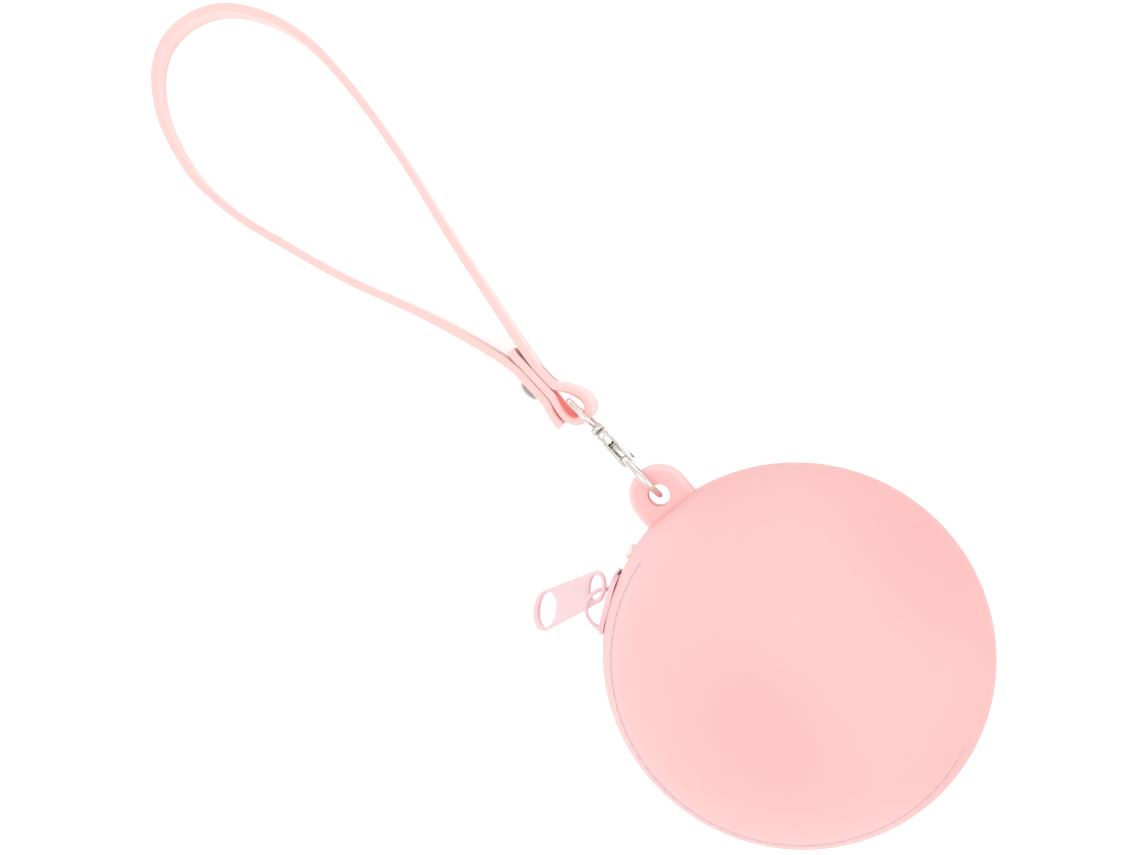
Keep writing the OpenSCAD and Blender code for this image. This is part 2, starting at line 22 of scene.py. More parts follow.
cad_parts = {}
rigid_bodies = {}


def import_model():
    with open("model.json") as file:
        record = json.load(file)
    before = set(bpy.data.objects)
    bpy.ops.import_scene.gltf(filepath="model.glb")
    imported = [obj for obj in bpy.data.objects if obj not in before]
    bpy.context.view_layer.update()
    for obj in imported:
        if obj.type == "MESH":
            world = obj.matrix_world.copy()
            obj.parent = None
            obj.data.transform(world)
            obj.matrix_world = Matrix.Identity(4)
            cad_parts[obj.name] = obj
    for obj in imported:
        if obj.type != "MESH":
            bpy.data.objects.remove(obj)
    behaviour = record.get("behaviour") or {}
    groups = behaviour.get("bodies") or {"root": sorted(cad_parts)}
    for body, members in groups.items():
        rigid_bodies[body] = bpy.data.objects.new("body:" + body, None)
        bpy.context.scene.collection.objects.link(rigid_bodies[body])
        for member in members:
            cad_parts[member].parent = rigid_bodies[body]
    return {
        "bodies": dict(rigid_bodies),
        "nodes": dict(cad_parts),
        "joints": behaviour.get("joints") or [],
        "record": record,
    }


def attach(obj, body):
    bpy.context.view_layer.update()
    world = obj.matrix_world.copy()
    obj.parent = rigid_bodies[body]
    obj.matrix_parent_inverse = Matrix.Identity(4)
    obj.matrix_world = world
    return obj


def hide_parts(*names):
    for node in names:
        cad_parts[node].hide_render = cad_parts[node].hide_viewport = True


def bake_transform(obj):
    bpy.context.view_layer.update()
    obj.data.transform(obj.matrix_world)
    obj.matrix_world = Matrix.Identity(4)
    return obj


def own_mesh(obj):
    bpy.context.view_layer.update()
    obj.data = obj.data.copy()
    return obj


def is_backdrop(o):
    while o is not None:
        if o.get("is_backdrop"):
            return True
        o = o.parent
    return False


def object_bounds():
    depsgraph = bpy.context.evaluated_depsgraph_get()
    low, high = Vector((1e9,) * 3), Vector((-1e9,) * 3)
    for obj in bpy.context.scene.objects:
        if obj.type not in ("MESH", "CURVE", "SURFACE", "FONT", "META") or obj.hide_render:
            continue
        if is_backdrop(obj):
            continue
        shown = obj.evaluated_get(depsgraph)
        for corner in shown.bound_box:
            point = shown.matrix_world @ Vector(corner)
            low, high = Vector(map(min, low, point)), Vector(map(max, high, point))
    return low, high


LOG = logging.getLogger("coin_purse")
MM = 0.001
FULL_TURN = 2.0 * math.pi
Point = Tuple[float, float, float]
Flat = Tuple[float, float]
Color = Tuple[float, float, float, float]
Faces = List[Tuple[int, ...]]


def clamp(value: float) -> float:
    """Holds a value between 0 and 1."""
    return max(0.0, min(1.0, value))


def turned(x: float, y: float, degrees: float) -> Flat:
    """Turns a pair of coordinates anticlockwise."""
    a = math.radians(degrees)
    return x * math.cos(a) - y * math.sin(a), x * math.sin(a) + y * math.cos(a)


def srgb(red: int, green: int, blue: int) -> Color:
    """Turns a colour as a picture stores it into a linear one.

    Args:
        red: From 0 to 255.
        green: From 0 to 255.
        blue: From 0 to 255.

    Returns:
        The linear colour, with alpha 1.
    """
    shares = [value / 255.0 for value in (red, green, blue)]
    linear = [s / 12.92 if s <= 0.04045 else ((s + 0.055) / 1.055) ** 2.4 for s in shares]
    return (*linear, 1.0)


class Pattern(Enum):
    """Fine structure of a surface."""

    SPECKLE = "speckle"
    WEAVE = "weave"
    TWIST = "twist"
    CAST = "cast"


@dataclass(frozen=True)
class Finish:
    """What a surface looks like.

    Attributes:
        color: Main colour, linear.
        other: Second colour, for the blotches and the hollows.
        pattern: Fine structure.
        scale: Size of the fine structure, in features for each metre.
        bump: Depth of the fine structure, in metres.
        patch: How strongly the second colour shows.
        roughness: Roughness of the surface.
        metallic: 1 for bare metal.
        coat: Weight of a clear coat.
        sheen: Weight of the sheen.
        subsurface: Weight of the light that goes through.
        specular: Level of the reflection.
        deep: Colour of the painted shade on the dome's spots, and of the painted glow inside the strap's eye.
        pale: Colour of painted light: the dome's paler band, the tab's painted highlight and the strap's
            painted sheen.
    """

    color: Color
    other: Color
    pattern: Pattern = Pattern.SPECKLE
    scale: float = 900.0
    bump: float = 0.00002
    patch: float = 0.5
    roughness: float = 0.5
    metallic: float = 0.0
    coat: float = 0.0
    sheen: float = 0.0
    subsurface: float = 0.0
    specular: float = 0.5
    deep: Color = (1.0, 1.0, 1.0, 1.0)
    pale: Color = (1.0, 1.0, 1.0, 1.0)


FINISHES: Dict[str, Finish] = {
    # Painted light: the silicones' darker and paler tone colours paint shade on two spots of the dome, light
    # along its rim, a highlight on the tab's edge, a sheen on the strap's faces and a glow in its eye.
    "silicone": Finish(srgb(254, 194, 192), srgb(253, 191, 189), scale=700.0, bump=0.00001, roughness=0.55,
                       subsurface=0.3, specular=0.35, deep=srgb(254, 186, 185), pale=srgb(254, 206, 205)),
    "silicone_tab": Finish(srgb(254, 195, 193), srgb(253, 192, 190), scale=700.0, bump=0.00001,
                           roughness=0.55, subsurface=0.3, specular=0.35, pale=srgb(254, 208, 207)),
    "silicone_strap": Finish(srgb(254, 206, 203), srgb(253, 202, 199), bump=0.00001, subsurface=0.5,
                             specular=0.35, sheen=0.1, deep=srgb(253, 158, 150), pale=srgb(254, 225, 222)),
    "tape": Finish(srgb(246, 222, 230), srgb(234, 204, 216), Pattern.WEAVE, 1500.0, 0.00006, 0.6, 0.85,
                   sheen=0.3, specular=0.2),
    "coil": Finish(srgb(250, 218, 226), srgb(240, 204, 216), scale=1500.0, bump=0.00001, patch=0.4,
                   roughness=0.38, subsurface=0.4),
    "stop": Finish(srgb(252, 240, 236), srgb(244, 226, 222), scale=1500.0, bump=0.00003, roughness=0.35,
                   subsurface=0.3),
    "thread": Finish(srgb(240, 214, 221), srgb(224, 194, 204), Pattern.TWIST, 2600.0, 0.00006, 0.6, 0.8,
                     sheen=0.3, specular=0.2),
    # Painted shade: the stitch holes are small darker discs that stand for the shade inside the needle holes.
    "hole": Finish(srgb(226, 160, 164), srgb(214, 142, 148), scale=1500.0, bump=0.0, roughness=0.9,
                   specular=0.1),
    "paint": Finish(srgb(240, 203, 208), srgb(234, 194, 202), Pattern.CAST, 500.0, 0.000008, 0.4, 0.28,
                    coat=0.5),
    "nickel": Finish(srgb(232, 228, 224), srgb(206, 200, 196), Pattern.CAST, 420.0, 0.000006, 0.4, 0.2, 1.0),
    # Painted shade: a darker copy of the nickel, for the rivet's left head, which lies in shade.
    "rivet": Finish(srgb(176, 173, 171), srgb(150, 147, 146), Pattern.CAST, 420.0, 0.000006, 0.4, 0.25, 1.0),
    "steel": Finish(srgb(190, 188, 188), srgb(160, 158, 160), Pattern.CAST, 600.0, 0.00001, 0.5, 0.35, 1.0),
}

# Painted glow in the emission, for light through thin silicone: its strength where a tone asks for all of it,
# and its colour.
PAINTED_GLOW = 0.14
PAINTED_GLOW_COLOR: Color = (1.0, 0.16, 0.12, 1.0)


class Graph:
    """A node tree with short ways to add to it."""

    def __init__(self, tree: bpy.types.NodeTree) -> None:
        """Keeps the tree."""
        self.tree = tree

    def put(self, value: object, socket: bpy.types.NodeSocket) -> None:
        """Links an input, or gives it a plain value.

        Args:
            value: An output socket, a number, a vector or a colour.
            socket: The input.
        """
        if isinstance(value, bpy.types.NodeSocket):
            self.tree.links.new(value, socket)
        else:
            socket.default_value = value

    def node(self, kind: str, inputs: Optional[Dict[object, object]] = None,
             **settings: object) -> bpy.types.Node:
        """Adds a node.

        Args:
            kind: Type of the node, without its first words.
            inputs: What each input takes, by name or number.
            settings: Properties by name.

        Returns:
            The node.
        """
        node = self.tree.nodes.new("ShaderNode" + kind)
        for key, value in settings.items():
            setattr(node, key, value)
        for key, value in (inputs or {}).items():
            self.put(value, node.inputs[key])
        return node

    def place(self, kind: str = "Object") -> bpy.types.NodeSocket:
        """Gives the place, or the normal, on the object."""
        return self.node("TexCoord").outputs[kind]

    def split(self, vector: bpy.types.NodeSocket) -> bpy.types.NodeOutputs:
        """Gives the three parts of a vector."""
        return self.node("SeparateXYZ", {0: vector}).outputs

    def math(self, operation: str, first: object, second: object = 0.0) -> bpy.types.NodeSocket:
        """Gives the result of a sum on numbers."""
        return self.node("Math", {0: first, 1: second}, operation=operation).outputs[0]

    def vector(self, operation: str, first: object, second: object = (0.0, 0.0, 0.0)) -> bpy.types.NodeSocket:
        """Gives the result of a sum on vectors.

        Args:
            operation: What to do.
            first: The first vector.
            second: The second vector.

        Returns:
            The number of a length or a product, or else the vector.
        """
        node = self.node("VectorMath", {0: first, 1: second}, operation=operation)
        return node.outputs["Value" if operation in ("LENGTH", "DOT_PRODUCT") else "Vector"]

    def ramp(self, value: bpy.types.NodeSocket, low: float, high: float) -> bpy.types.NodeSocket:
        """Gives a smooth step.

        Args:
            value: What to step.
            low: Where it is 0.
            high: Where it is 1.

        Returns:
            The share.
        """
        ends = {"Value": value, "From Min": low, "From Max": high}
        return self.node("MapRange", ends, interpolation_type="SMOOTHSTEP").outputs["Result"]

    def mixed(self, share: bpy.types.NodeSocket, first: object, second: object) -> bpy.types.NodeSocket:
        """Gives a mix of two colours, with a share of the second."""
        return self.node("Mix", {0: share, 6: first, 7: second}, data_type="RGBA").outputs[2]


class Group(Graph):
    """A shader group with named inputs and outputs."""

    def __init__(self, name: str, inputs: Dict[str, str], outputs: Dict[str, str]) -> None:
        """Starts the group.

        Args:
            name: Name of the group.
            inputs: Kind of each input by name.
            outputs: Kind of each output by name.
        """
        super().__init__(bpy.data.node_groups.new(name, "ShaderNodeTree"))
        for way, sockets in (("INPUT", inputs), ("OUTPUT", outputs)):
            for socket, kind in sockets.items():
                self.tree.interface.new_socket(name=socket, in_out=way, socket_type="NodeSocket" + kind)
        self.source = self.tree.nodes.new("NodeGroupInput").outputs
        self.end = self.tree.nodes.new("NodeGroupOutput").inputs

    @classmethod
    def pattern(cls, name: str) -> "Group":
        """Starts a group with the sockets of a fine pattern."""
        inputs = {"Color": "Color", "Other Color": "Color"}
        inputs.update(dict.fromkeys(("Scale", "Patch", "Depth"), "Float"))
        return cls(name, inputs, {"Color": "Color", "Normal": "Vector"})

    @classmethod
    def tone(cls, name: str) -> "Group":
        """Starts a group with the sockets of a broad tone of painted light and shade."""
        inputs = {"Color": "Color", "Deep Color": "Color", "Pale Color": "Color"}
        return cls(name, inputs, {"Color": "Color", "Glow": "Float"})

    def noise(self, share: float, detail: float) -> bpy.types.NodeSocket:
        """Gives a noise at a share of the group's scale."""
        scale = self.math("MULTIPLY", self.source["Scale"], share)
        inputs = {"Vector": self.place(), "Scale": scale, "Detail": detail}
        return self.node("TexNoise", inputs).outputs["Fac"]

    def finished(self, share: bpy.types.NodeSocket, height: bpy.types.NodeSocket) -> bpy.types.NodeTree:
        """Adds the colour mix and the bump that every pattern ends with.

        Args:
            share: Where the second colour shows, from 0 to 1.
            height: Height of the surface, from 0 to 1.

        Returns:
            The group's tree.
        """
        weight = self.math("MULTIPLY", share, self.source["Patch"])
        bump = self.node("Bump", {"Strength": 1.0, "Distance": self.source["Depth"], "Height": height})
        self.put(self.mixed(weight, self.source["Color"], self.source["Other Color"]), self.end["Color"])
        self.put(bump.outputs["Normal"], self.end["Normal"])
        return self.tree


class MaterialLibrary:
    """Makes the procedural materials, each once."""

    def __init__(self, purse: Purse, strap: Strap) -> None:
        """Starts an empty library and makes the shared groups.

        Args:
            purse: The purse, whose sizes place the painted light and shade and the weave.
            strap: The strap, whose eye holds the painted glow.
        """
        self._made: Dict[str, bpy.types.Material] = {}
        self._patterns = {
            Pattern.SPECKLE: self._noisy("moulded_grain", (0.045, 1.0), (0.2, 1.0), (3.0, 3.0)),
            Pattern.WEAVE: self._weave(purse),
            Pattern.TWIST: self._twist(),
            Pattern.CAST: self._noisy("cast_surface", (0.6, 1.0), (0.35, 0.75), (4.0, 4.0)),
        }
        self._painted_light = {
            "silicone": self._dome_painted_light(purse),
            "silicone_tab": self._tab_painted_highlight(purse),
            "silicone_strap": self._strap_painted_light(strap),
        }

    @staticmethod
    def _noisy(name: str, broad: Flat, step: Flat, fine: Flat) -> bpy.types.NodeTree:
        """Makes a pattern of broad blotches of colour and a fine grain.

        Args:
            name: Name of the group.
            broad: Share of the scale and detail of the blotches.
            step: Where the blotches start and are full.
            fine: Share of the scale and detail of the grain.

        Returns:
            The group's tree.
        """
        group = Group.pattern(name)
        return group.finished(group.ramp(group.noise(*broad), *step), group.noise(*fine))

    @staticmethod
    def _weave(purse: Purse) -> bpy.types.NodeTree:
        """Makes a plain weave that runs round the rim and across it.

        Args:
            purse: The purse.

        Returns:
            The group's tree.
        """
        group = Group.pattern("rim_weave")
        place = group.split(group.place())
        along = group.math("MULTIPLY", group.math("ARCTAN2", place["Y"], place["X"]), purse.rim_r * MM)
        waves = []
        for way in (along, place["Z"]):
            turns = group.math("MULTIPLY", way, group.source["Scale"])
            waves.append(group.math("SINE", group.math("MULTIPLY", turns, FULL_TURN)))
        step = group.ramp(group.math("MULTIPLY", *waves), -0.8, 0.8)
        return group.finished(step, step)

    @staticmethod
    def _twist() -> bpy.types.NodeTree:
        """Makes the slanted lines of twisted thread.

        Returns:
            The group's tree.
        """
        group = Group.pattern("twisted_thread")
        inputs = {"Vector": group.place(), "Scale": group.source["Scale"], "Distortion": 0.4}
        wave = group.node("TexWave", inputs, bands_direction="DIAGONAL").outputs["Fac"]
        return group.finished(wave, wave)

    @staticmethod
    def _painted_shade_group() -> bpy.types.NodeTree:
        """Makes one broad soft spot of painted shade at a place on the object.

        Returns:
            The group's tree.
        """
        group = Group("painted_shade_spot", {"Centre": "Vector", "Size": "Vector"}, {"Share": "Float"})
        offset = group.vector("SUBTRACT", group.place(), group.source["Centre"])
        length = group.vector("LENGTH", group.vector("DIVIDE", offset, group.source["Size"]))
        group.put(group.ramp(length, 1.0, 0.0), group.end["Share"])
        return group.tree

    def _dome_painted_light(self, purse: Purse) -> bpy.types.NodeTree:
        """Makes two broad spots of painted shade on the purse and a thin band of painted light at the
        zipper's side.

        Args:
            purse: The purse.

        Returns:
            The group's tree.
        """
        group = Group.tone("dome_painted_light")
        shade_tree = self._painted_shade_group()
        color = group.source["Color"]
        # Painted shade: two broad darker spots on the dome.
        for centre, size in (((-0.0115, -0.004, 0.038), (0.022, 0.032, 0.04)),
                             ((0.037, 0.002, 0.03), (0.018, 0.038, 0.045))):
            spot = group.node("Group", {"Centre": centre, "Size": size}, node_tree=shade_tree)
            color = group.mixed(spot.outputs["Share"], color, group.source["Deep Color"])
        # Painted light: a paler band near the rim's plane, on the -X side.
        place = group.split(group.place())
        height = group.math("ABSOLUTE", group.math("SUBTRACT", place["Z"], purse.mid_z * MM))
        band = group.ramp(height, 1.65 * purse.band_h * MM, 0.7 * purse.band_h * MM)
        near = group.ramp(place["X"], 0.014, -0.014)
        color = group.mixed(group.math("MULTIPLY", band, near), color, group.source["Pale Color"])
        group.put(color, group.end["Color"])
        return group.tree

    @staticmethod
    def _tab_painted_highlight(purse: Purse) -> bpy.types.NodeTree:
        """Makes the painted highlight of the hanging tab, which is paler along its thin outer edge.

        Args:
            purse: The purse.

        Returns:
            The group's tree.
        """
        group = Group.tone("tab_painted_highlight")
        place = group.split(group.place())
        beyond = group.math("MAXIMUM", group.math("SUBTRACT", place["Y"], purse.tab_y * MM), 0.0)
        reach = group.vector("LENGTH", group.node("CombineXYZ", {"X": place["X"], "Y": beyond}).outputs[0])
        # Painted highlight: the tab's rounded outer edge is paler.
        edge = group.ramp(reach, (purse.tab_r - 1.7) * MM, (purse.tab_r - 0.3) * MM)
        group.put(group.mixed(edge, group.source["Color"], group.source["Pale Color"]), group.end["Color"])
        return group.tree

    @staticmethod
    def _strap_painted_light(strap: Strap) -> bpy.types.NodeTree:
        """Makes the strap's painted sheen on the broad faces, and a painted glow for light that comes through
        inside the eye.

        Args:
            strap: The strap.

        Returns:
            The group's tree.
        """
        group = Group.tone("strap_painted_light")
        normal = group.place("Normal")
        # Painted sheen: the broad faces, whose normals lie flat, are paler.
        face = group.ramp(group.math("ABSOLUTE", group.split(normal)["Z"]), 0.7, 0.3)
        color = group.mixed(face, group.source["Color"], group.source["Pale Color"])
        # Painted glow: inside the eye the strap takes the deeper colour and the emission.
        centre = ((strap.bar[0] - 0.27) * MM, (strap.bar[1] + 0.97) * MM, 0.0)
        inward = group.vector("SUBTRACT", centre, group.vector("MULTIPLY", group.place(), (1.0, 1.0, 0.0)))
        toward = group.vector("DOT_PRODUCT", group.vector("NORMALIZE", inward), normal)
        near = group.ramp(group.vector("LENGTH", inward), 0.0043, 0.003)
        share = group.math("MULTIPLY", near, group.ramp(toward, 0.15, 0.5))
        group.put(group.mixed(share, color, group.source["Deep Color"]), group.end["Color"])
        group.put(share, group.end["Glow"])
        return group.tree

    def get(self, name: str) -> bpy.types.Material:
        """Gives the material of a finish.

        Args:
            name: Name of the finish.

        Returns:
            The material.
        """
        if name not in self._made:
            self._made[name] = self._make(name, FINISHES[name])
        return self._made[name]

    def _make(self, name: str, finish: Finish) -> bpy.types.Material:
        """Builds a material.

        Args:
            name: Name of the finish.
            finish: What it looks like.

        Returns:
            The material.
        """
        material = bpy.data.materials.new("look_" + name)
        material.use_nodes = True
        graph = Graph(material.node_tree)
        graph.tree.nodes.clear()
        group = graph.node("Group", {
            "Color": finish.color,
            "Other Color": finish.other,
            "Scale": finish.scale,
            "Patch": finish.patch,
            "Depth": finish.bump,
        }, node_tree=self._patterns[finish.pattern])
        shader = graph.node("BsdfPrincipled", {
            "Base Color": group.outputs["Color"],
            "Normal": group.outputs["Normal"],
            "Roughness": finish.roughness,
            "Metallic": finish.metallic,
            "Coat Weight": finish.coat,
            "Coat Roughness": 0.12,
            "Sheen Weight": finish.sheen,
            "Sheen Roughness": 0.5,
            "Specular IOR Level": finish.specular,
            "Subsurface Weight": finish.subsurface,
            "Subsurface Radius": (1.0, 0.45, 0.4),
            "Subsurface Scale": 0.0022,
        })
        # Painted light and shade: the finish's tone group gives the base colour, and its painted glow drives
        # the emission.
        if name in self._painted_light:
            inputs = {"Color": group.outputs["Color"], "Deep Color": finish.deep, "Pale Color": finish.pale}
            tone = graph.node("Group", inputs, node_tree=self._painted_light[name])
            graph.put(tone.outputs["Color"], shader.inputs["Base Color"])
            graph.put(PAINTED_GLOW_COLOR, shader.inputs["Emission Color"])
            graph.put(graph.math("MULTIPLY", tone.outputs["Glow"], PAINTED_GLOW), shader.inputs["Emission Strength"])
        graph.node("OutputMaterial", {"Surface": shader.outputs["BSDF"]})
        return material


@dataclass
class Shape:
    """Points and faces that grow piece by piece, in millimetres."""

    points: List[Point] = field(default_factory=list)
    faces: Faces = field(default_factory=list)

    def add(self, other: Shape) -> Shape:
        """Adds another shape.

        Args:
            other: The shape to add.

        Returns:
            This shape.
        """
        start = len(self.points)
        self.points.extend(other.points)
        self.faces.extend(tuple(start + i for i in face) for face in other.faces)
        return self

    def moved(self, move: Callable[[Point], Point]) -> Shape:
        """Gives a copy with each point moved."""
        return Shape([move(p) for p in self.points], list(self.faces))

    def round_z(self, degrees: float) -> Shape:
        """Gives a copy turned about the upright axis."""
        return self.moved(lambda p: (*turned(p[0], p[1], degrees), p[2]))

    def seated(self, origin: Vector, axis: Vector) -> Shape:
        """Gives a copy with its own upright axis laid along another one."""
        up = axis.normalized()
        one = up.cross(Vector((0, 0, 1)) if abs(up.z) < 0.9 else Vector((1, 0, 0))).normalized()
        turn = Matrix((one, up.cross(one), up)).transposed()
        return self.moved(lambda p: tuple(origin + turn @ Vector(p)))


def grid(rows: Sequence[Sequence[Point]], closed_rows: bool = True, closed_columns: bool = False) -> Shape:
    """Joins rows of points with four-sided faces, and fills the end rings where they don't join.

    Args:
        rows: Rows of equal length.
        closed_rows: Whether each row is a ring.
        closed_columns: Whether the last row joins the first.

    Returns:
        The shape.
    """
    count, width = len(rows), len(rows[0])
    faces: Faces = []
    for i in range(count if closed_columns else count - 1):
        low, high = i * width, ((i + 1) % count) * width
        for k in range(width if closed_rows else width - 1):
            m = (k + 1) % width
            faces.append((low + k, low + m, high + m, high + k))
    if closed_rows and not closed_columns:
        faces.append(tuple(range(width - 1, -1, -1)))
        faces.append(tuple((count - 1) * width + k for k in range(width)))
    return Shape([p for row in rows for p in row], faces)


def tube(path: Sequence[Vector], radius: Callable[[float], float], sides: int = 12, closed: bool = False,
         side: Optional[Vector] = None) -> Shape:
    """Sweeps a round section along a path.

    Args:
        path: Points of the path.
        radius: Radius at a share of the path, from 0 to 1.
        sides: Sides of the section.
        closed: Whether the path is a ring.
        side: A fixed side direction, or none for one that is carried along.

    Returns:
        The shape.
    """
    count = len(path)
    rows: List[List[Point]] = []
    carried = side
    for i, place in enumerate(path):
        before = path[(i - 1) % count] if closed else path[max(i - 1, 0)]
        after = path[(i + 1) % count] if closed else path[min(i + 1, count - 1)]
        ahead = (after - before).normalized()
        if carried is None:
            carried = Vector((0, 0, 1)) if abs(ahead.z) < 0.9 else Vector((1, 0, 0))
        across = (carried - ahead * carried.dot(ahead)).normalized()
        if side is None:
            carried = across
        other = ahead.cross(across)
        size = radius(i / max(count - 1, 1))
        angles = [FULL_TURN * k / sides for k in range(sides)]
        rows.append([
            tuple(place + across * (size * math.cos(a)) + other * (size * math.sin(a))) for a in angles
        ])
    return grid(rows, True, closed)


def smooth_line(points: Sequence[Sequence[float]], steps: int) -> List[Vector]:
    """Runs a smooth curve through points.

    Args:
        points: The points, all with as many coordinates.
        steps: Pieces between two points.

    Returns:
        The points of the curve.
    """
    knots = [Vector(p) for p in points]
    last = len(knots) - 1
    line: List[Vector] = []
    for i in range(last):
        a, b = knots[max(i - 1, 0)], knots[i]
        c, d = knots[i + 1], knots[min(i + 2, last)]
        for j in range(steps):
            t = j / steps
            line.append(0.5 * (2.0 * b + (c - a) * t + (2.0 * a - 5.0 * b + 4.0 * c - d) * t * t
                               + (3.0 * b - 3.0 * c + d - a) * t**3))
    line.append(knots[last])
    return line


def arc(x: float, y: float, r: float, start: float, end: float, steps: int) -> List[Flat]:
    """Gives points of an arc.

    Args:
        x: Centre.
        y: Centre.
        r: Radius.
        start: First angle in degrees.
        end: Last angle in degrees.
        steps: Pieces of the arc.

    Returns:
        The points.
    """
    turns = (math.radians(start + (end - start) * i / steps) for i in range(steps + 1))
    return [(x + r * math.cos(a), y + r * math.sin(a)) for a in turns]


def held(thing: bpy.types.Object) -> bpy.types.Object:
    """Selects one object and nothing else.

    Args:
        thing: The object.

    Returns:
        The same object.
    """
    bpy.ops.object.select_all(action="DESELECT")
    thing.select_set(True)
    bpy.context.view_layer.objects.active = thing
    return thing


def linked(name: str, data: bpy.types.ID) -> bpy.types.Object:
    """Makes an object in the scene and selects it alone."""
    thing = bpy.data.objects.new(name, data)
    bpy.context.scene.collection.objects.link(thing)
    return held(thing)


def taken(thing: bpy.types.Object) -> Shape:
    """Reads a helper object's mesh as a shape and removes the object.

    Args:
        thing: The helper.

    Returns:
        Its shape.
    """
    mesh = thing.data
    shape = Shape([tuple(v.co) for v in mesh.vertices], [tuple(p.vertices) for p in mesh.polygons])
    bpy.data.objects.remove(thing)
    bpy.data.meshes.remove(mesh)
    return shape


def spun(profile: Sequence[Flat], steps: int) -> Shape:
    """Spins a profile about the upright axis and closes both ends.

    Args:
        profile: Pairs of radius and height.
        steps: Steps round the axis.

    Returns:
        The shape.
    """
    mesh = bpy.data.meshes.new("profile")
    mesh.from_pydata([(r, 0.0, z) for r, z in profile], [(i, i + 1) for i in range(len(profile) - 1)], [])
    helper = linked("profile", mesh)
    bpy.ops.object.mode_set(mode="EDIT")
    bpy.ops.mesh.select_all(action="SELECT")
    bpy.ops.mesh.spin(steps=steps, angle=FULL_TURN, center=(0.0, 0.0, 0.0), axis=(0.0, 0.0, 1.0))
    bpy.ops.mesh.select_all(action="SELECT")
    bpy.ops.mesh.remove_doubles(threshold=0.0005)
    bpy.ops.mesh.fill_holes(sides=0)
    bpy.ops.object.mode_set(mode="OBJECT")
    return taken(helper)


def rounded_plate(outline: Sequence[Flat], holes: Sequence[Sequence[Flat]], thickness: float,
                  bevel: float) -> Shape:
    """Makes a flat plate with holes and rounded edges, centred on its own middle plane.

    Args:
        outline: Points of the outer edge.
        holes: Points of each hole.
        thickness: Thickness of the plate.
        bevel: Radius of the edges.

    Returns:
        The shape.
    """
    curve = bpy.data.curves.new("plate_outline", "CURVE")
    curve.dimensions = "2D"
    curve.fill_mode = "BOTH"
    curve.extrude = thickness / 2.0 - bevel
    curve.bevel_depth = bevel
    curve.bevel_resolution = 2
    curve.offset = -bevel
    for points in [outline, *holes]:
        spline = curve.splines.new("POLY")
        spline.points.add(len(points) - 1)
        for point, (x, y) in zip(spline.points, points):
            point.co = (x, y, 0.0, 1.0)
        spline.use_cyclic_u = True
    helper = linked("plate_outline", curve)
    bpy.ops.object.convert(target="MESH")
    return taken(helper)


def make_piece(name: str, shape: Shape, material: bpy.types.Material, body: str,
               replaced: Sequence[str] = (), sharp: float = 50.0) -> bpy.types.Object:
    """Makes an object of a shape and lets it ride on a body.

    Args:
        name: Name of the piece.
        shape: Its points and faces, in millimetres.
        material: Its material.
        body: The body that it rides on, or nothing to leave that out.
        replaced: The nodes that it stands for.
        sharp: Edges that turn more than this, in degrees, stay sharp.

    Returns:
        The object.
    """
    mesh = bpy.data.meshes.new(name)
    mesh.from_pydata([tuple(c * MM for c in p) for p in shape.points], [], shape.faces)
    mesh.validate()
    piece = linked(name, mesh)
    bpy.ops.object.mode_set(mode="EDIT")
    bpy.ops.mesh.select_all(action="SELECT")
    bpy.ops.mesh.remove_doubles(threshold=0.002 * MM)
    bpy.ops.mesh.normals_make_consistent(inside=False)
    bpy.ops.object.mode_set(mode="OBJECT")
    bpy.ops.object.shade_smooth_by_angle(angle=math.radians(sharp))
    mesh.materials.append(material)
    if body:
        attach(piece, body)
    if replaced:
        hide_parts(*replaced)
    LOG.info("made %s", name)
    return piece


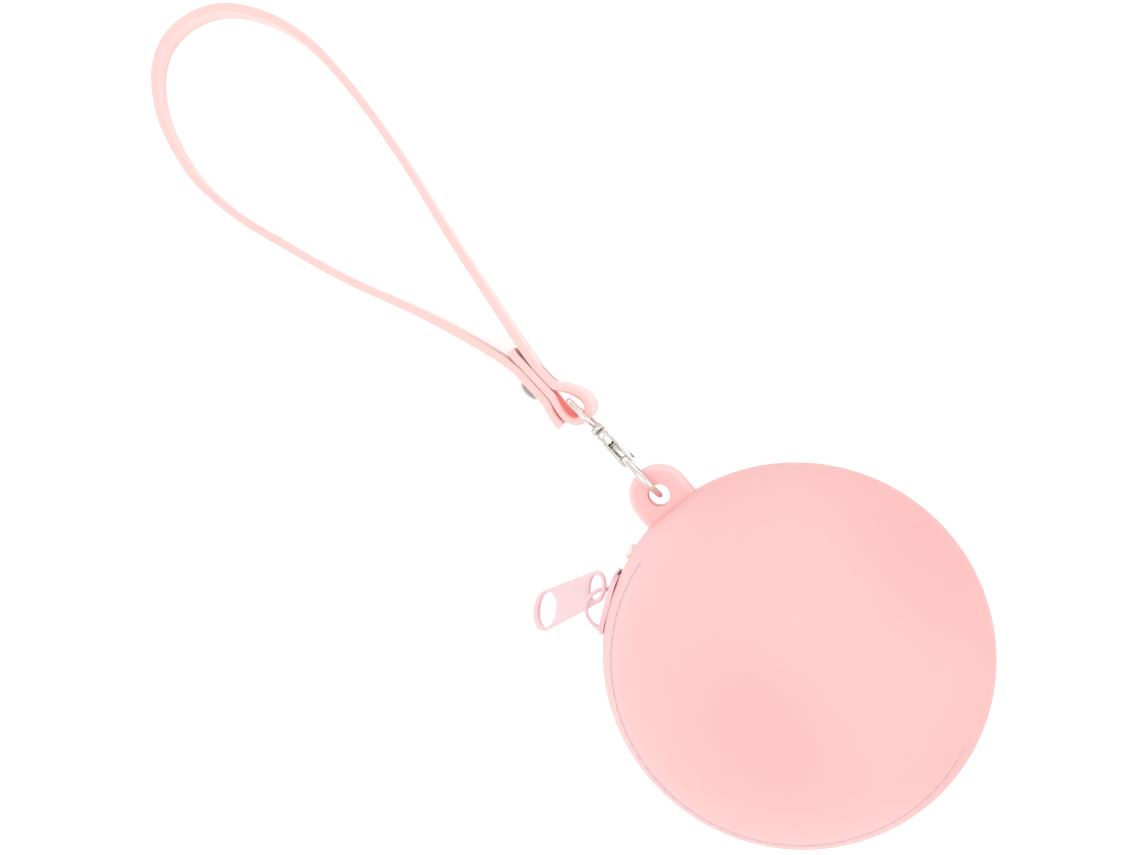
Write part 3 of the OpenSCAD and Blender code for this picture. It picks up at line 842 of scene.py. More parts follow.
@dataclass(frozen=True)
class Purse:
    """The moulded silicone body with its zipper and stitching.

    Attributes:
        rim_r: Radius of the outer rim.
        half_h: Height of each dome.
        mid_z: Height of the rim's plane above the table.
        power: Fullness of the domes.
        wall: Wall of the domes.
        band_wall: Wall of the band to which the tapes are sewn.
        band_h: How far that band reaches from the rim's plane.
        rim_gap: Gap between the two rims.
        gap_end: Angle over which the gap closes at its ends.
        lip_h: Height of the rounded lip.
        tab_y: Distance of the tab's hole from the centre.
        tab_r: Radius of the tab.
        tab_t: Thickness of the tab.
        tab_hole: Diameter of its hole.
        zip_mid: Heading of the middle of the zipper.
        zip_half: Half the angle that the zipper takes.
        coil_r: Outer radius of the coils.
        coil_wire: Radius of the coils' wire.
        coil_pitch: Distance between two loops.
        stitch_z: Distance of the stitches from the rim's plane.
        stitch_pitch: Distance between two stitches.
        fold_bend: How far the fold reaches from its line, behind it and before it; not used.
    """

    rim_r: float = 42.9
    half_h: float = 19.3
    mid_z: float = 19.0
    power: float = 2.3
    wall: float = 2.0
    band_wall: float = 1.1
    band_h: float = 10.0
    rim_gap: float = 6.4
    gap_end: float = 4.2
    lip_h: float = 0.45
    tab_y: float = 46.6
    tab_r: float = 6.6
    tab_t: float = 3.0
    tab_hole: float = 4.8
    zip_mid: float = 199.95
    zip_half: float = 93.55
    coil_r: float = 42.67
    coil_wire: float = 0.25
    coil_pitch: float = 1.5
    stitch_z: float = 8.5
    stitch_pitch: float = 3.0
    fold_bend: Flat = (-11.0, 0.5)

    def dome(self, inset: float, angle: float) -> Flat:
        """Gives a point of a dome's profile.

        Args:
            inset: How far the dome lies inside the outer one.
            angle: From 0 at the rim to 90 at the pole, in degrees.

        Returns:
            The radius and the height above the middle.
        """
        turn = math.radians(angle)
        power = 2.0 / self.power
        return (
            (self.rim_r - inset) * max(math.cos(turn), 0.0) ** power,
            (self.half_h - inset) * max(math.sin(turn), 0.0) ** power,
        )

    def dome_r(self, inset: float, height: float) -> float:
        """Gives the radius of a dome, with its inset, at a height above the rim's plane."""
        share = min(abs(height) / (self.half_h - inset), 1.0)
        return (self.rim_r - inset) * (1.0 - share**self.power) ** (1.0 / self.power)

    def dome_angle(self, inset: float, height: float) -> float:
        """Gives the profile angle of a dome, with its inset, at a height above the rim's plane."""
        share = min(abs(height) / (self.half_h - inset), 1.0)
        return math.degrees(math.asin(share ** (self.power / 2.0)))

    def around(self, radius: float, turn: float, height: float) -> Point:
        """Gives a point from its radius, its angle from the zipper's middle and its height over the rim."""
        return (*turned(radius, 0.0, self.zip_mid + turn), self.mid_z + height)

    def _columns(self) -> List[float]:
        """Gives the angles of the columns, closer together at the ends of the zipper.

        Returns:
            Angles from the middle of the zipper, in degrees.
        """
        turns = [float(t) for t in range(-180, 180, 2)]
        for end in (-self.zip_half, self.zip_half):
            turns = [t for t in turns if abs(t - end) > 5.0]
            turns += [end + 0.5 * k for k in range(-10, 11)]
        return sorted(turns)

    def _edge(self, turn: float) -> float:
        """Gives half of the opening between the rims, at an angle from the zipper's middle."""
        share = clamp((self.zip_half - abs(turn)) / self.gap_end)
        return self.rim_gap / 2.0 * math.sqrt(1.0 - (1.0 - share) ** 2)

    def _flat(self, turn: float) -> float:
        """Gives the radius of the small flat from which the tab hangs.

        Args:
            turn: Angle from the middle of the zipper, in degrees.

        Returns:
            The radius, or a large one away from the tab.
        """
        off = math.radians((turn + self.zip_mid + 90.0) % 360.0 - 180.0)
        if abs(off) > 0.5:
            return 1000.0
        return math.sqrt(self.rim_r**2 - self.tab_r**2) / math.cos(off)

    def _column(self, turn: float, side: int) -> List[Flat]:
        """Gives the closed section of one dome at one angle, from the outer pole to the inner pole.

        Args:
            turn: Angle from the middle of the zipper, in degrees.
            side: 1 for the upper dome and -1 for the lower one.

        Returns:
            Pairs of radius and height.
        """
        edge, flat = self._edge(turn), self._flat(turn)
        rows: List[Flat] = []
        pole = 90.0
        if side < 0:
            pole = self.dome_angle(0.0, self.mid_z)
            rows += [(0.0, -self.mid_z), (self.dome(0.0, pole)[0] * 0.6, -self.mid_z)]
        first = self.dome_angle(0.0, edge + self.lip_h)
        for i in range(26):
            radius, height = self.dome(0.0, pole - (pole - first) * i / 25.0)
            rows.append((min(radius, flat), side * height))
        outer = min(self.dome_r(0.0, edge), flat)
        for out, up in ((0.05, 0.2), (0.2, 0.06), (0.45, 0.0), (0.8, 0.02), (1.0, 0.12), (1.1, 0.35)):
            rows.append((outer - out, side * (edge + up)))
        for i in range(1, 8):
            height = edge + self.lip_h + (self.band_h - edge - self.lip_h) * i / 7.0
            rows.append((self.dome_r(self.band_wall, height), side * height))
        last = self.dome_angle(self.wall, self.band_h + 0.4)
        for i in range(14):
            radius, height = self.dome(self.wall, last + (90.0 - last) * i / 13.0)
            rows.append((radius, side * height))
        return rows

    def _dome(self, side: int) -> Shape:
        """Makes the upper dome, for side 1, or the lower one, for side -1."""
        rows = [[self.around(r, turn, z) for r, z in self._column(turn, side)] for turn in self._columns()]
        return grid(rows, closed_rows=False, closed_columns=True)

    def _tab(self) -> Shape:
        """Makes the hanging tab.

        Returns:
            The shape.
        """
        low = math.sqrt(self.rim_r**2 - self.tab_r**2) - 1.0
        outline = [(-self.tab_r, low), (self.tab_r, low)] + arc(0.0, self.tab_y, self.tab_r, 0.0, 180.0, 48)
        hole = arc(0.0, self.tab_y, self.tab_hole / 2.0, 0.0, 352.5, 47)
        plate = rounded_plate(outline, [hole], self.tab_t, 0.4)
        return plate.moved(lambda p: (p[0], p[1], p[2] + self.mid_z))

    def _coil(self, side: int) -> Shape:
        """Makes one coil as a spiral of wire that reaches between the loops of the other.

        Args:
            side: 1 for the upper coil and -1 for the lower one.

        Returns:
            The shape.
        """
        sweep = 2.0 * (self.zip_half - 2.0)
        loops = round(math.radians(sweep) * 42.6 / self.coil_pitch)
        start = 0.5 if side > 0 else 0.0
        steps = 14
        path: List[Vector] = []
        for i in range(loops * steps + 1):
            a = FULL_TURN * i / steps
            turn = -sweep / 2.0 + sweep * (i / steps + start) / (loops + 0.5)
            height = 1.38 + 1.45 * math.copysign(abs(math.cos(a)) ** 0.8, math.cos(a))
            path.append(Vector(self.around(self.coil_r - 0.46 + 0.21 * math.sin(a), turn, side * height)))
        return tube(path, lambda share: self.coil_wire, 7)

    def _tape_end(self, side: int) -> Shape:
        """Makes the closed end of one tape: the two beads of the stop.

        Args:
            side: 1 for the upper tape and -1 for the lower one.

        Returns:
            The shape.
        """
        points = [turned(1.0, 0.0, a) for a in range(-85, 86, 17)]
        bead = spun([(out, 0.9 * up) for out, up in points], 24)
        shape = Shape()
        for turn, height, size in ((-92.6, 1.9, 1.0), (-91.1, 1.3, 0.75)):
            centre = Vector(self.around(43.1, turn, side * height))
            sized = bead.moved(lambda p, size=size: tuple(size * c for c in p))
            shape.add(sized.seated(centre, Vector((centre.x, centre.y, 0.0))))
        return shape

    def _stitches(self, side: int) -> Tuple[Shape, Shape]:
        """Makes one row of stitches and darker discs of painted shade for the holes that they go through.

        Args:
            side: 1 for the upper row and -1 for the lower one.

        Returns:
            The threads and the holes.
        """
        radius = self.dome_r(0.0, self.stitch_z)
        pitch = math.degrees(self.stitch_pitch / radius)
        up = side * self.stitch_z
        path = []
        for share in (k / 4.0 for k in range(-4, 5)):
            bow = 0.16 * (1.0 - share**4) - 0.1
            path.append(Vector(self.around(radius + bow, share * pitch * 0.37, up)))
        thread = tube(path, lambda t: 0.07 + 0.12 * math.sin(math.pi * min(max(t, 0.02), 0.98)) ** 0.4, 8)
        mid = Vector(self.around(radius + 0.01, pitch / 2.0, up))
        # Painted shade: a small darker disc stands for the shade inside each needle hole.
        hole = spun([(0.2, -0.12), (0.2, 0.02), (0.14, 0.04), (0.03, 0.01)], 10)
        hole = hole.seated(mid, Vector((mid.x, mid.y, up * 0.55)))
        count = int(2.0 * (self.zip_half + 2.6) / pitch)
        threads, holes = Shape(), Shape()
        for i in range(count):
            turn = (i - (count - 1) / 2.0) * pitch
            threads.add(thread.round_z(turn))
            holes.add(hole.round_z(turn))
        return threads, holes

    def _bend(self, piece: bpy.types.Object) -> None:
        """Bakes a piece's placement into its mesh; the piece doesn't bend over the fold."""
        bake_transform(piece)

    def build(self, library: MaterialLibrary) -> None:
        """Makes the pieces.

        Args:
            library: The materials.
        """
        silicone = library.get("silicone")
        make_piece("shell_lower", self._dome(-1), silicone, "purse",
                   ["body_shell", "fold_band"], 60.0)
        self._bend(make_piece("shell_upper", self._dome(1), silicone, "", ["front_flap"], 60.0))
        make_piece("hanging_tab", self._tab(), library.get("silicone_tab"), "purse")
        for side, body, word in ((-1, "purse", "lower"), (1, "flap", "upper")):
            make_piece("coil_" + word, self._coil(side), library.get("coil"), body,
                       ["zipper_coil_" + word])
            threads, holes = self._stitches(side)
            on = body if side < 0 else ""
            sewn = [make_piece("stitches_" + word, threads, library.get("thread"), on,
                               ["stitching_" + word]),
                    make_piece("stitch_hole_shade_" + word, holes, library.get("hole"), on)]
            if side > 0:
                for piece in sewn:
                    self._bend(piece)
            make_piece("tape_end_" + word, self._tape_end(side), library.get("stop"), body,
                       ["stop_closed_" + word])


@dataclass(frozen=True)
class Slider:
    """The painted slider and its pull.

    Attributes:
        purse: The purse whose zipper it runs on.
        heading: Where it stands on the rim.
        in_r: Inner radius of its outer plate.
        plate_t: Thickness of the plates.
        plate_half_l: Half the length of the plates.
        tail_r: Corner radius of the tail.
        head_r: Corner radius of the head.
        inner_plate_r: Outer radius of the inner plate.
        bridge_h: Height of the bridge over the plate.
        bridge_l: Length of the bridge.
        bridge_wire: Thickness of the bridge.
        bridge_off: Distance of the bridge's middle from the slider's middle.
        pull_t: Thickness of the pull.
        eye_d: Diameter of the pull's small hole.
        eye_r: Radius of the pull's small end.
        ring_d: Diameter of the pull's large hole.
        ring_r: Radius of the pull's large end.
        hole_pitch: Distance between the two holes.
        tip_wall: Material beyond the large hole.
        hang_out: Distance of the hanging point from the plate.
        hang_down: Distance of the small hole's centre from the hanging point.
        hang_along: Distance of the small hole's centre along the rim.
        droop: How far the pull hangs down.
        turn: How far the pull is turned in its own plane.
    """

    purse: Purse
    heading: float = 124.5
    in_r: float = 43.0
    plate_t: float = 0.8
    plate_half_l: float = 7.61
    tail_r: float = 2.7
    head_r: float = 2.9
    inner_plate_r: float = 40.33
    bridge_h: float = 4.3
    bridge_l: float = 9.8
    bridge_wire: float = 0.8
    bridge_off: float = 1.8
    pull_t: float = 0.8
    eye_d: float = 5.6
    eye_r: float = 3.7
    ring_d: float = 7.9
    ring_r: float = 4.7
    hole_pitch: float = 20.3
    tip_wall: float = 2.0
    hang_out: float = 2.0
    hang_down: float = 1.35
    hang_along: float = -2.1
    droop: float = 51.0
    turn: float = 34.5

    def at(self, point: Point) -> Point:
        """Places a point given outward from the disc's centre, along the rim and up."""
        return (*turned(point[0], point[1], self.heading), self.purse.mid_z + point[2])

    def _bent(self, y: float, z: float, radius: float, true_r: float) -> Point:
        """Wraps a flat point round the disc, at a radius, with its length kept at another radius."""
        a = y / true_r
        return self.at((radius * math.cos(a), radius * math.sin(a), z))

    def _hung(self, point: Point) -> Point:
        """Places a point given along, across and above the pull.

        Args:
            point: The local point, from the centre of the small hole.

        Returns:
            The point.
        """
        x, y = turned(point[0], point[1], self.turn)
        z, x = turned(point[2], x + self.hang_down, self.droop)
        return self.at((x + self.in_r + self.plate_t + self.hang_out, y + self.hang_along, z))

    def _curved_plate(self, inner: float, outer: float, outline: Sequence[Flat], bevel: float) -> Shape:
        """Makes a plate that is curved round the disc.

        Args:
            inner: Inner radius.
            outer: Outer radius.
            outline: Points along and above the slider.
            bevel: Size of the rounded edge.

        Returns:
            The shape.
        """
        steps = [(0.05, outer), (0.5, outer), (0.9, outer), (0.97, outer - 0.02), (1.0, outer - bevel),
                 (1.0, inner + bevel), (0.97, inner + 0.02), (0.9, inner), (0.5, inner), (0.05, inner)]
        return grid([
            [self._bent(y * size, z * size, radius, outer) for y, z in outline] for size, radius in steps
        ])

    def _body(self) -> Shape:
        """Makes the slider with its two plates, its flanges, its divider and its bridge.

        Returns:
            The shape.
        """
        tail, head = self.tail_r, self.head_r
        low, high = tail - self.plate_half_l, self.plate_half_l - 3.1
        outline = (arc(low, 1.9, tail, 180, 90, 8) + arc(high, 1.2, head, 75, 0, 8)
                   + arc(high, -1.2, head, 0, -75, 8) + arc(low, -1.9, tail, -90, -180, 8))
        plate = self.in_r + self.plate_t
        shape = self._curved_plate(self.in_r, plate, outline, 0.25)
        for flange in (1, -1):
            edge = arc(low, 1.9, tail, 150, 90, 6) + arc(high, 1.2, head, 80, 30, 6)
            lip = [(y, flange * z) for y, z in edge]
            lip += [(y * 0.97, z - flange * 0.55) for y, z in reversed(lip)]
            shape.add(self._curved_plate(self.in_r - 0.42, self.in_r + 0.3, lip, 0.12))
        inner = [(y * 0.9, z * 0.87) for y, z in outline]
        shape.add(self._curved_plate(self.inner_plate_r - self.plate_t, self.inner_plate_r, inner, 0.25))
        divider = ((-6.4, 0.28), (-6.6, 0.0), (-6.4, -0.28), (-2.4, -0.28), (-1.6, 0.0), (-2.4, 0.28))
        shape.add(grid([[self._bent(y, z, radius, self.in_r) for y, z in divider]
                        for radius in (self.inner_plate_r - 0.2, self.in_r + 0.2)]))
        ring_r = ((self.bridge_l / 2.0) ** 2 + self.bridge_h**2) / (2.0 * self.bridge_h)
        centre = plate + self.bridge_h - ring_r
        line = arc(centre, self.bridge_off, ring_r - self.bridge_wire / 2.0, -90, 90, 40)
        path = [Vector(self.at((x, y, 0.0))) for x, y in line]
        return shape.add(tube(path, lambda t: 0.42 + 0.5 * abs(2.0 * t - 1.0) ** 9, side=Vector((0, 0, 1))))

    def _pull(self) -> Shape:
        """Makes the pull with its two holes.

        Returns:
            The shape.
        """
        far = self.hole_pitch + self.ring_d / 2.0 + self.tip_wall - self.ring_r
        outline = arc(0, 0, self.eye_r, 92, 268, 36) + arc(far, 0, self.ring_r, -88, 88, 40)
        small = arc(0, 0, self.eye_d / 2.0, 0, 354, 59)
        large = arc(self.hole_pitch, 0, self.ring_d / 2.0, 0, 355, 71)
        return rounded_plate(outline, [small, large], self.pull_t, 0.24).moved(self._hung)

    def build(self, library: MaterialLibrary) -> None:
        """Makes the pieces.

        Args:
            library: The materials.
        """
        paint = library.get("paint")
        make_piece("slider_casting", self._body(), paint, "slider", ["slider_body"], 45.0)
        make_piece("pull_plate", self._pull(), paint, "pull", ["slider_pull"], 60.0)


@dataclass(frozen=True)
class Clasp:
    """The lobster clasp with its swivel and its bail.

    The outlines give places along the clasp and above it, from the centre of the tab's hole. The end and the
    collar give places along the clasp and radii.

    Attributes:
        purse: The purse on whose tab it hangs.
        heading: Direction of the clasp.
        slope: How far it slopes down from the tab.
        roll: How far it is turned about its own length.
        cheek_t: Thickness of the body's two cheeks.
        lever_t: Thickness of the lever.
        bail_wire: Thickness of the bail's wire.
        bail_in_h: Width of the bail inside.
        bail_far: Distance of the bail's far bar from the tab's hole.
        bail_near: Distance of its near bar.
    """

    purse: Purse
    heading: float = 97.05
    slope: float = 17.0
    roll: float = 8.0
    cheek_t: float = 0.78
    lever_t: float = 1.16
    bail_wire: float = 1.15
    bail_in_h: float = 11.8
    bail_far: float = 28.4
    bail_near: float = 20.4
    hook_line: Tuple[Flat, ...] = (
        (9.9, 4.2), (8.2, 5.1), (5, 5.75), (2.2, 4.9), (0.4, 2.6), (-0.1, 0), (0.9, -2.3), (2.8, -3.6),
        (4.6, -3.9),
    )
    cheek: Tuple[Flat, ...] = (
        (7.4, 4.9), (8.6, 5.1), (10, 4.7), (12, 3.75), (14, 2.75), (16.4, 1.75), (16.4, -1.7), (14, -2.2),
        (12, -2.35), (10, -2.15), (9.2, -1.2), (8.9, 0.6), (8.2, 2.8),
    )
    lever: Tuple[Flat, ...] = (
        (5.4, -3.5), (7, -2.2), (8.6, -0.9), (10, 0.15), (11, 0.5), (12.4, 1.0), (14.6, 1.0), (14.8, 0.65),
        (12.6, 0.2), (12.2, -1.2), (11.6, -2), (10.2, -2.3), (9.4, -3.4), (8.5, -3.9), (7.7, -3.6),
        (5.9, -4.6),
    )
    end: Tuple[Flat, ...] = (
        (15.7, 0.4), (15.7, 1.3), (15.85, 1.6), (16.4, 1.78), (17.3, 1.74), (17.9, 1.7), (18.3, 1.84),
        (18.8, 1.9), (19.1, 1.8), (19.3, 1.5), (19.3, 0.85),
    )
    collar: Tuple[Flat, ...] = (
        (19.6, 0.78), (19.6, 1.5), (19.75, 1.85), (20.0, 2.1), (20.4, 2.2), (20.8, 2.0), (21.15, 1.5),
        (21.3, 0.9), (21.3, 0.3),
    )

    def at(self, point: Point) -> Point:
        """Places a point given across, along and above the clasp.

        Args:
            point: The local point.

        Returns:
            The point.
        """
        z, x = turned(point[2], point[0], self.roll)
        z, y = turned(z, point[1], self.slope)
        x, y = turned(x, y, self.heading - 90.0)
        return (x, self.purse.tab_y + y, self.purse.mid_z + z)

    def along(self, point: Point) -> Vector:
        """Gives a direction of the clasp's own frame."""
        return Vector(self.at(point)) - Vector(self.at((0.0, 0.0, 0.0)))

    def _ringed(self, profile: Sequence[Flat], steps: int,
                shaped: Callable[[float, float, float], float]) -> Shape:
        """Turns a profile about the clasp's length, with a radius that changes on the way round.

        Args:
            profile: Pairs of place along the clasp and radius.
            steps: Points of each ring.
            shaped: Gives the radius from the place, the plain radius and the angle in radians.

        Returns:
            The shape.
        """
        rows: List[List[Point]] = []
        for y, plain in profile:
            ring = [(a, shaped(y, plain, a)) for a in (FULL_TURN * k / steps for k in range(steps))]
            rows.append([self.at((r * math.cos(a), y, r * math.sin(a))) for a, r in ring])
        return grid(rows)

    @staticmethod
    def _hook_wire(share: float) -> float:
        """Gives the hook's radius at a share of its length: slimmer towards the tip, which is round."""
        if share > 0.93:
            return 0.66 * math.sqrt(max(1.0 - ((share - 0.93) / 0.075) ** 2, 0.05))
        return 0.78 - 0.12 * share

    @staticmethod
    def _grooved(y: float, radius: float, angle: float) -> float:
        """Gives the round end's radius, with the groove into which the slot runs out.

        Args:
            y: Place along the clasp.
            radius: The plain radius.
            angle: The angle round the clasp, in radians.

        Returns:
            The radius.
        """
        depth = 0.55 * clamp((18.0 - y) / 0.5) if radius > 1.0 else 0.0
        off = abs((angle + math.pi / 2.0) % FULL_TURN - math.pi)
        return radius - depth * clamp((0.36 - off) / 0.08)

    @staticmethod
    def _notched(_: float, radius: float, angle: float) -> float:
        """Gives the collar's radius, with eight notches where it is wide.

        Args:
            _: Place along the clasp, which doesn't change it.
            radius: The plain radius.
            angle: The angle round the clasp, in radians.

        Returns:
            The radius.
        """
        return radius * (0.95 + 0.05 * math.cos(8.0 * angle)) if radius > 1.4 else radius

    def _in_cheek(self, point: Point, side: int) -> Point:
        """Places a point of a flat cheek on its side of the clasp, closer in towards the hook."""
        narrow = 1.0 - 0.13 * clamp((12.0 - point[0]) / 4.0)
        return self.at(((point[2] + side * 1.12) * narrow, point[0], point[1]))

    def _hook(self) -> Shape:
        """Makes the hook, its slim body with the slot, and the round end with the slot's groove.

        Returns:
            The shape.
        """
        line = [Vector(self.at((0.0, p[0], p[1]))) for p in smooth_line(self.hook_line, 6)]
        shape = tube(line, self._hook_wire, 16, side=self.along((1, 0, 0)))
        outline = [(p.x, p.y) for p in smooth_line([*self.cheek, self.cheek[0]], 5)[:-1]]
        cheek = rounded_plate(outline, [], self.cheek_t, 0.3)
        for side in (-1, 1):
            shape.add(cheek.moved(lambda p, side=side: self._in_cheek(p, side)))
        shape.add(self._ringed(self.end, 64, self._grooved))
        floor = rounded_plate([(12.7, -2.3), (16.0, -2.1), (16.0, -1.4), (12.7, -1.4)], [], 1.7, 0.1)
        return shape.add(floor.moved(lambda p: self.at((p[2], p[0], p[1]))))

    def _lever(self) -> Shape:
        """Makes the thumb lever with the bore for its pin.

        Returns:
            The shape.
        """
        outline = [(p.x, p.y) for p in smooth_line([*self.lever, self.lever[0]], 4)[:-1]]
        plate = rounded_plate(outline, [arc(11, -1, 0.65, 0, 345, 23)], self.lever_t, 0.2)
        return plate.moved(lambda p: self.at((p[2], p[0], p[1])))

    def _spring(self) -> Shape:
        """Makes the small spring under the lever's tail.

        Returns:
            The shape.
        """
        turns, steps, radius = 3, 72, 0.49
        path = []
        for i in range(steps + 1):
            a = FULL_TURN * turns * i / steps
            across, along = radius * math.cos(a), radius * math.sin(a)
            path.append(Vector(self.at((across, 14.2 + along, -1.22 + 1.46 * i / steps))))
        return tube(path, lambda share: 0.1, 8)

    def _bail(self) -> Shape:
        """Makes the wire bail and its notched collar.

        Returns:
            The shape.
        """
        half = self.bail_in_h / 2.0 + self.bail_wire / 2.0
        near, far = self.bail_near + self.bail_wire / 2.0, self.bail_far
        corners = (arc(far - 2.0, half - 2.0, 2.0, 0, 90, 8) + arc(near + 2.5, half - 2.5, 2.5, 90, 180, 8)
                   + arc(near + 2.5, 2.5 - half, 2.5, 180, 270, 8)
                   + arc(far - 2.0, 2.0 - half, 2.0, 270, 360, 8))
        path = [Vector(self.at((0.0, y, z))) for y, z in corners]
        shape = tube(path, lambda t: self.bail_wire / 2.0, 16, closed=True, side=self.along((1, 0, 0)))
        return shape.add(self._ringed(self.collar, 72, self._notched))

    def build(self, library: MaterialLibrary) -> None:
        """Makes the pieces.

        Args:
            library: The materials.
        """
        nickel = library.get("nickel")
        spring = make_piece("lever_spring", self._spring(), library.get("steel"), "hook",
                            ["clasp_spring"])
        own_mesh(spring)
        make_piece("hook_casting", self._hook(), nickel, "hook", ["clasp_hook"], 45.0)
        make_piece("lever_plate", self._lever(), nickel, "lever", ["clasp_lever"], 45.0)
        make_piece("bail_wire", self._bail(), nickel, "bail", ["clasp_bail"], 45.0)


@dataclass(frozen=True)
class Strap:
    """The flat silicone strap and its rivet.

    The four parts of the route are given from the bail's far bar. Straight layers at the rivet lie between.

    Attributes:
        clasp: The clasp whose bail holds it.
        width: Width of the strap.
        thick: Thickness of the strap.
        swell: Added on each face, so that the lines between the layers are thin.
        rise: Height of its lower edge above the table.
        lean: Lean of its far end.
        rivet_lean: Lean at the rivet.
        lean_heading: Direction of the lean.
        layer_gap: Gap between two layers.
        rivet_turn: Turn of the straight layers at the rivet.
        rivet_off: Place of the rivet from the bar.
        cap_d: Diameter of the rivet's heads.
        cap_h: Height of the left head.
        post_h: Height of the right head.
    """

    clasp: Clasp
    width: float = 9.3
    thick: float = 1.7
    swell: float = 0.08
    rise: float = 0.1
    lean: float = 12.7
    rivet_lean: float = 7.0
    lean_heading: float = 13.0
    layer_gap: float = 0.25
    rivet_turn: float = 4.0
    rivet_off: Flat = (-3.55, 8.95)
    cap_d: float = 5.4
    cap_h: float = 1.55
    post_h: float = 0.65
    start: Tuple[Flat, ...] = ((-5, -1.8), (-5.4, 0.6), (-5.3, 2.5))
    loop: Tuple[Flat, ...] = (
        (-6.8, 18), (-10.1, 26.8), (-13.6, 35.5), (-17.2, 43.3), (-21.2, 51.1), (-25.1, 59.9),
        (-28.6, 69.9), (-32, 78.6), (-33.6, 85.6), (-34.7, 93), (-34.1, 99.5), (-32.1, 108.2),
        (-28.6, 114.3), (-25.1, 118.4), (-20, 121.4), (-13.8, 122), (-7.5, 120.3), (-2, 116.4), (2.9, 109),
        (5.6, 100.7), (6.4, 92.6), (6.2, 81.9), (5.5, 72.6), (4.6, 64.1), (3.65, 57.7), (2.3, 49.4),
        (1, 39.6), (-0.1, 30.1), (-1.1, 21.4), (-1.5, 16.8),
    )
    eye: Tuple[Flat, ...] = (
        (-0.7, 5), (0.1, 4.1), (1.1, 3.1), (2, 1.7), (2.8, 0.2), (3.1, -1.2), (2.9, -2.4), (2.4, -3.2),
        (1.5, -3.7), (0.4, -3.7), (-0.9, -3.3), (-2.4, -2), (-3.1, 0), (-3.2, 2),
    )
    tail: Tuple[Flat, ...] = ((-4.2, 16.1), (-4, 18.2))

    @property
    def bar(self) -> Point:
        """Middle of the bail's far bar."""
        return self.clasp.at((0.0, self.clasp.bail_far, 0.0))

    @property
    def rivet(self) -> Flat:
        """Place of the rivet."""
        return (self.bar[0] + self.rivet_off[0], self.bar[1] + self.rivet_off[1])

    def _from_bar(self, points: Sequence[Flat]) -> List[Flat]:
        """Moves points from the bail's far bar to the row frame."""
        return [(self.bar[0] + x, self.bar[1] + y) for x, y in points]

    def _layer(self, number: int, start: float, end: float, steps: int) -> List[Flat]:
        """Gives the straight run of one layer at the rivet.

        Args:
            number: -1, 0 or 1 from left to right.
            start: Distance of the first point from the rivet, along the strap.
            end: Distance of the last point.
            steps: Pieces between them.

        Returns:
            The points in the row frame.
        """
        pitch = number * (self.thick + self.layer_gap)
        points = [turned(pitch, start + (end - start) * i / steps, self.rivet_turn) for i in range(steps + 1)]
        return [(self.rivet[0] + x, self.rivet[1] + y) for x, y in points]

    def _route(self) -> List[Flat]:
        """Gives the whole route, from the short end to the tail between the layers."""
        return (self._from_bar(self.start) + self._layer(-1, -5.0, 5.0, 4) + self._from_bar(self.loop)
                + self._layer(1, 3.3, -3.3, 3) + self._from_bar(self.eye) + self._layer(0, -5.0, 5.0, 4)
                + self._from_bar(self.tail))

    def _frame(self, x: float, y: float) -> Tuple[Vector, Vector]:
        """Gives the strap's middle line and its upward direction.

        Args:
            x: Place on the route.
            y: Place on the route.

        Returns:
            The point and the direction.
        """
        middle = self.rise + self.width / 2.0
        slope = math.tan(math.radians(self.clasp.slope))
        past = y - self.bar[1]
        drop = self.bar[2] - middle
        lift = drop - slope * past if past < 0.0 else drop * clamp(1.0 - past * slope / (2.0 * drop)) ** 2
        lean = math.radians(self.rivet_lean * clamp((past + 3.5) / 8.0)
                            + (self.lean - self.rivet_lean) * clamp((past - 18.0) / 57.0))
        up = Vector((*turned(math.sin(lean), 0.0, self.lean_heading), math.cos(lean)))
        return Vector((x, y, middle)) + up * (lift / up.z), up

    def _band(self) -> Shape:
        """Makes the strap with rounded corners.

        Returns:
            The shape.
        """
        line = smooth_line(self._route(), 8)
        for _ in range(24):
            line[1:-1] = [(line[i - 1] + line[i] * 2.0 + line[i + 1]) / 4.0 for i in range(1, len(line) - 1)]
        section: List[Flat] = []
        corner = 0.5
        flat, tall = self.thick / 2.0 + self.swell - corner, self.width / 2.0 - corner
        for x, y, start in ((flat, tall, 0), (-flat, tall, 90), (-flat, -tall, 180), (flat, -tall, 270)):
            section += arc(x, y, corner, start, start + 90, 4)
        rows: List[List[Point]] = []
        last = len(line) - 1
        for i, place in enumerate(line):
            ahead = (line[min(i + 1, last)] - line[max(i - 1, 0)]).normalized()
            side = Vector((-ahead.y, ahead.x, 0.0))
            centre, up = self._frame(place.x, place.y)
            rows.append([tuple(centre + side * u + up * v) for u, v in section])
        return grid(rows)

    def _head(self, side: int, height: float) -> Shape:
        """Makes one head of the rivet.

        Args:
            side: 1 on the right and -1 on the left.
            height: Height of the head.

        Returns:
            The shape.
        """
        heading = math.cos(math.radians(self.lean_heading - self.rivet_turn))
        lean = math.atan(heading * math.tan(math.radians(self.rivet_lean)))
        axis = Vector((*turned(math.cos(lean), 0.0, self.rivet_turn), -math.sin(lean))) * side
        centre, _ = self._frame(*self.rivet)
        rim = self.cap_d / 2.0
        profile: List[Flat] = [(0.05, 0.0), (rim - 0.3, 0.0), (rim - 0.06, 0.07), (rim, 0.2)]
        for a in (0, 10, 22, 34, 46, 58, 70, 80, 88):
            out, up = turned(1.0, 0.0, a)
            profile.append(((rim - 0.05) * out, 0.28 + (height - 0.28) * up))
        return spun(profile, 56).seated(centre + axis * (1.5 * self.thick + self.layer_gap + 0.02), axis)

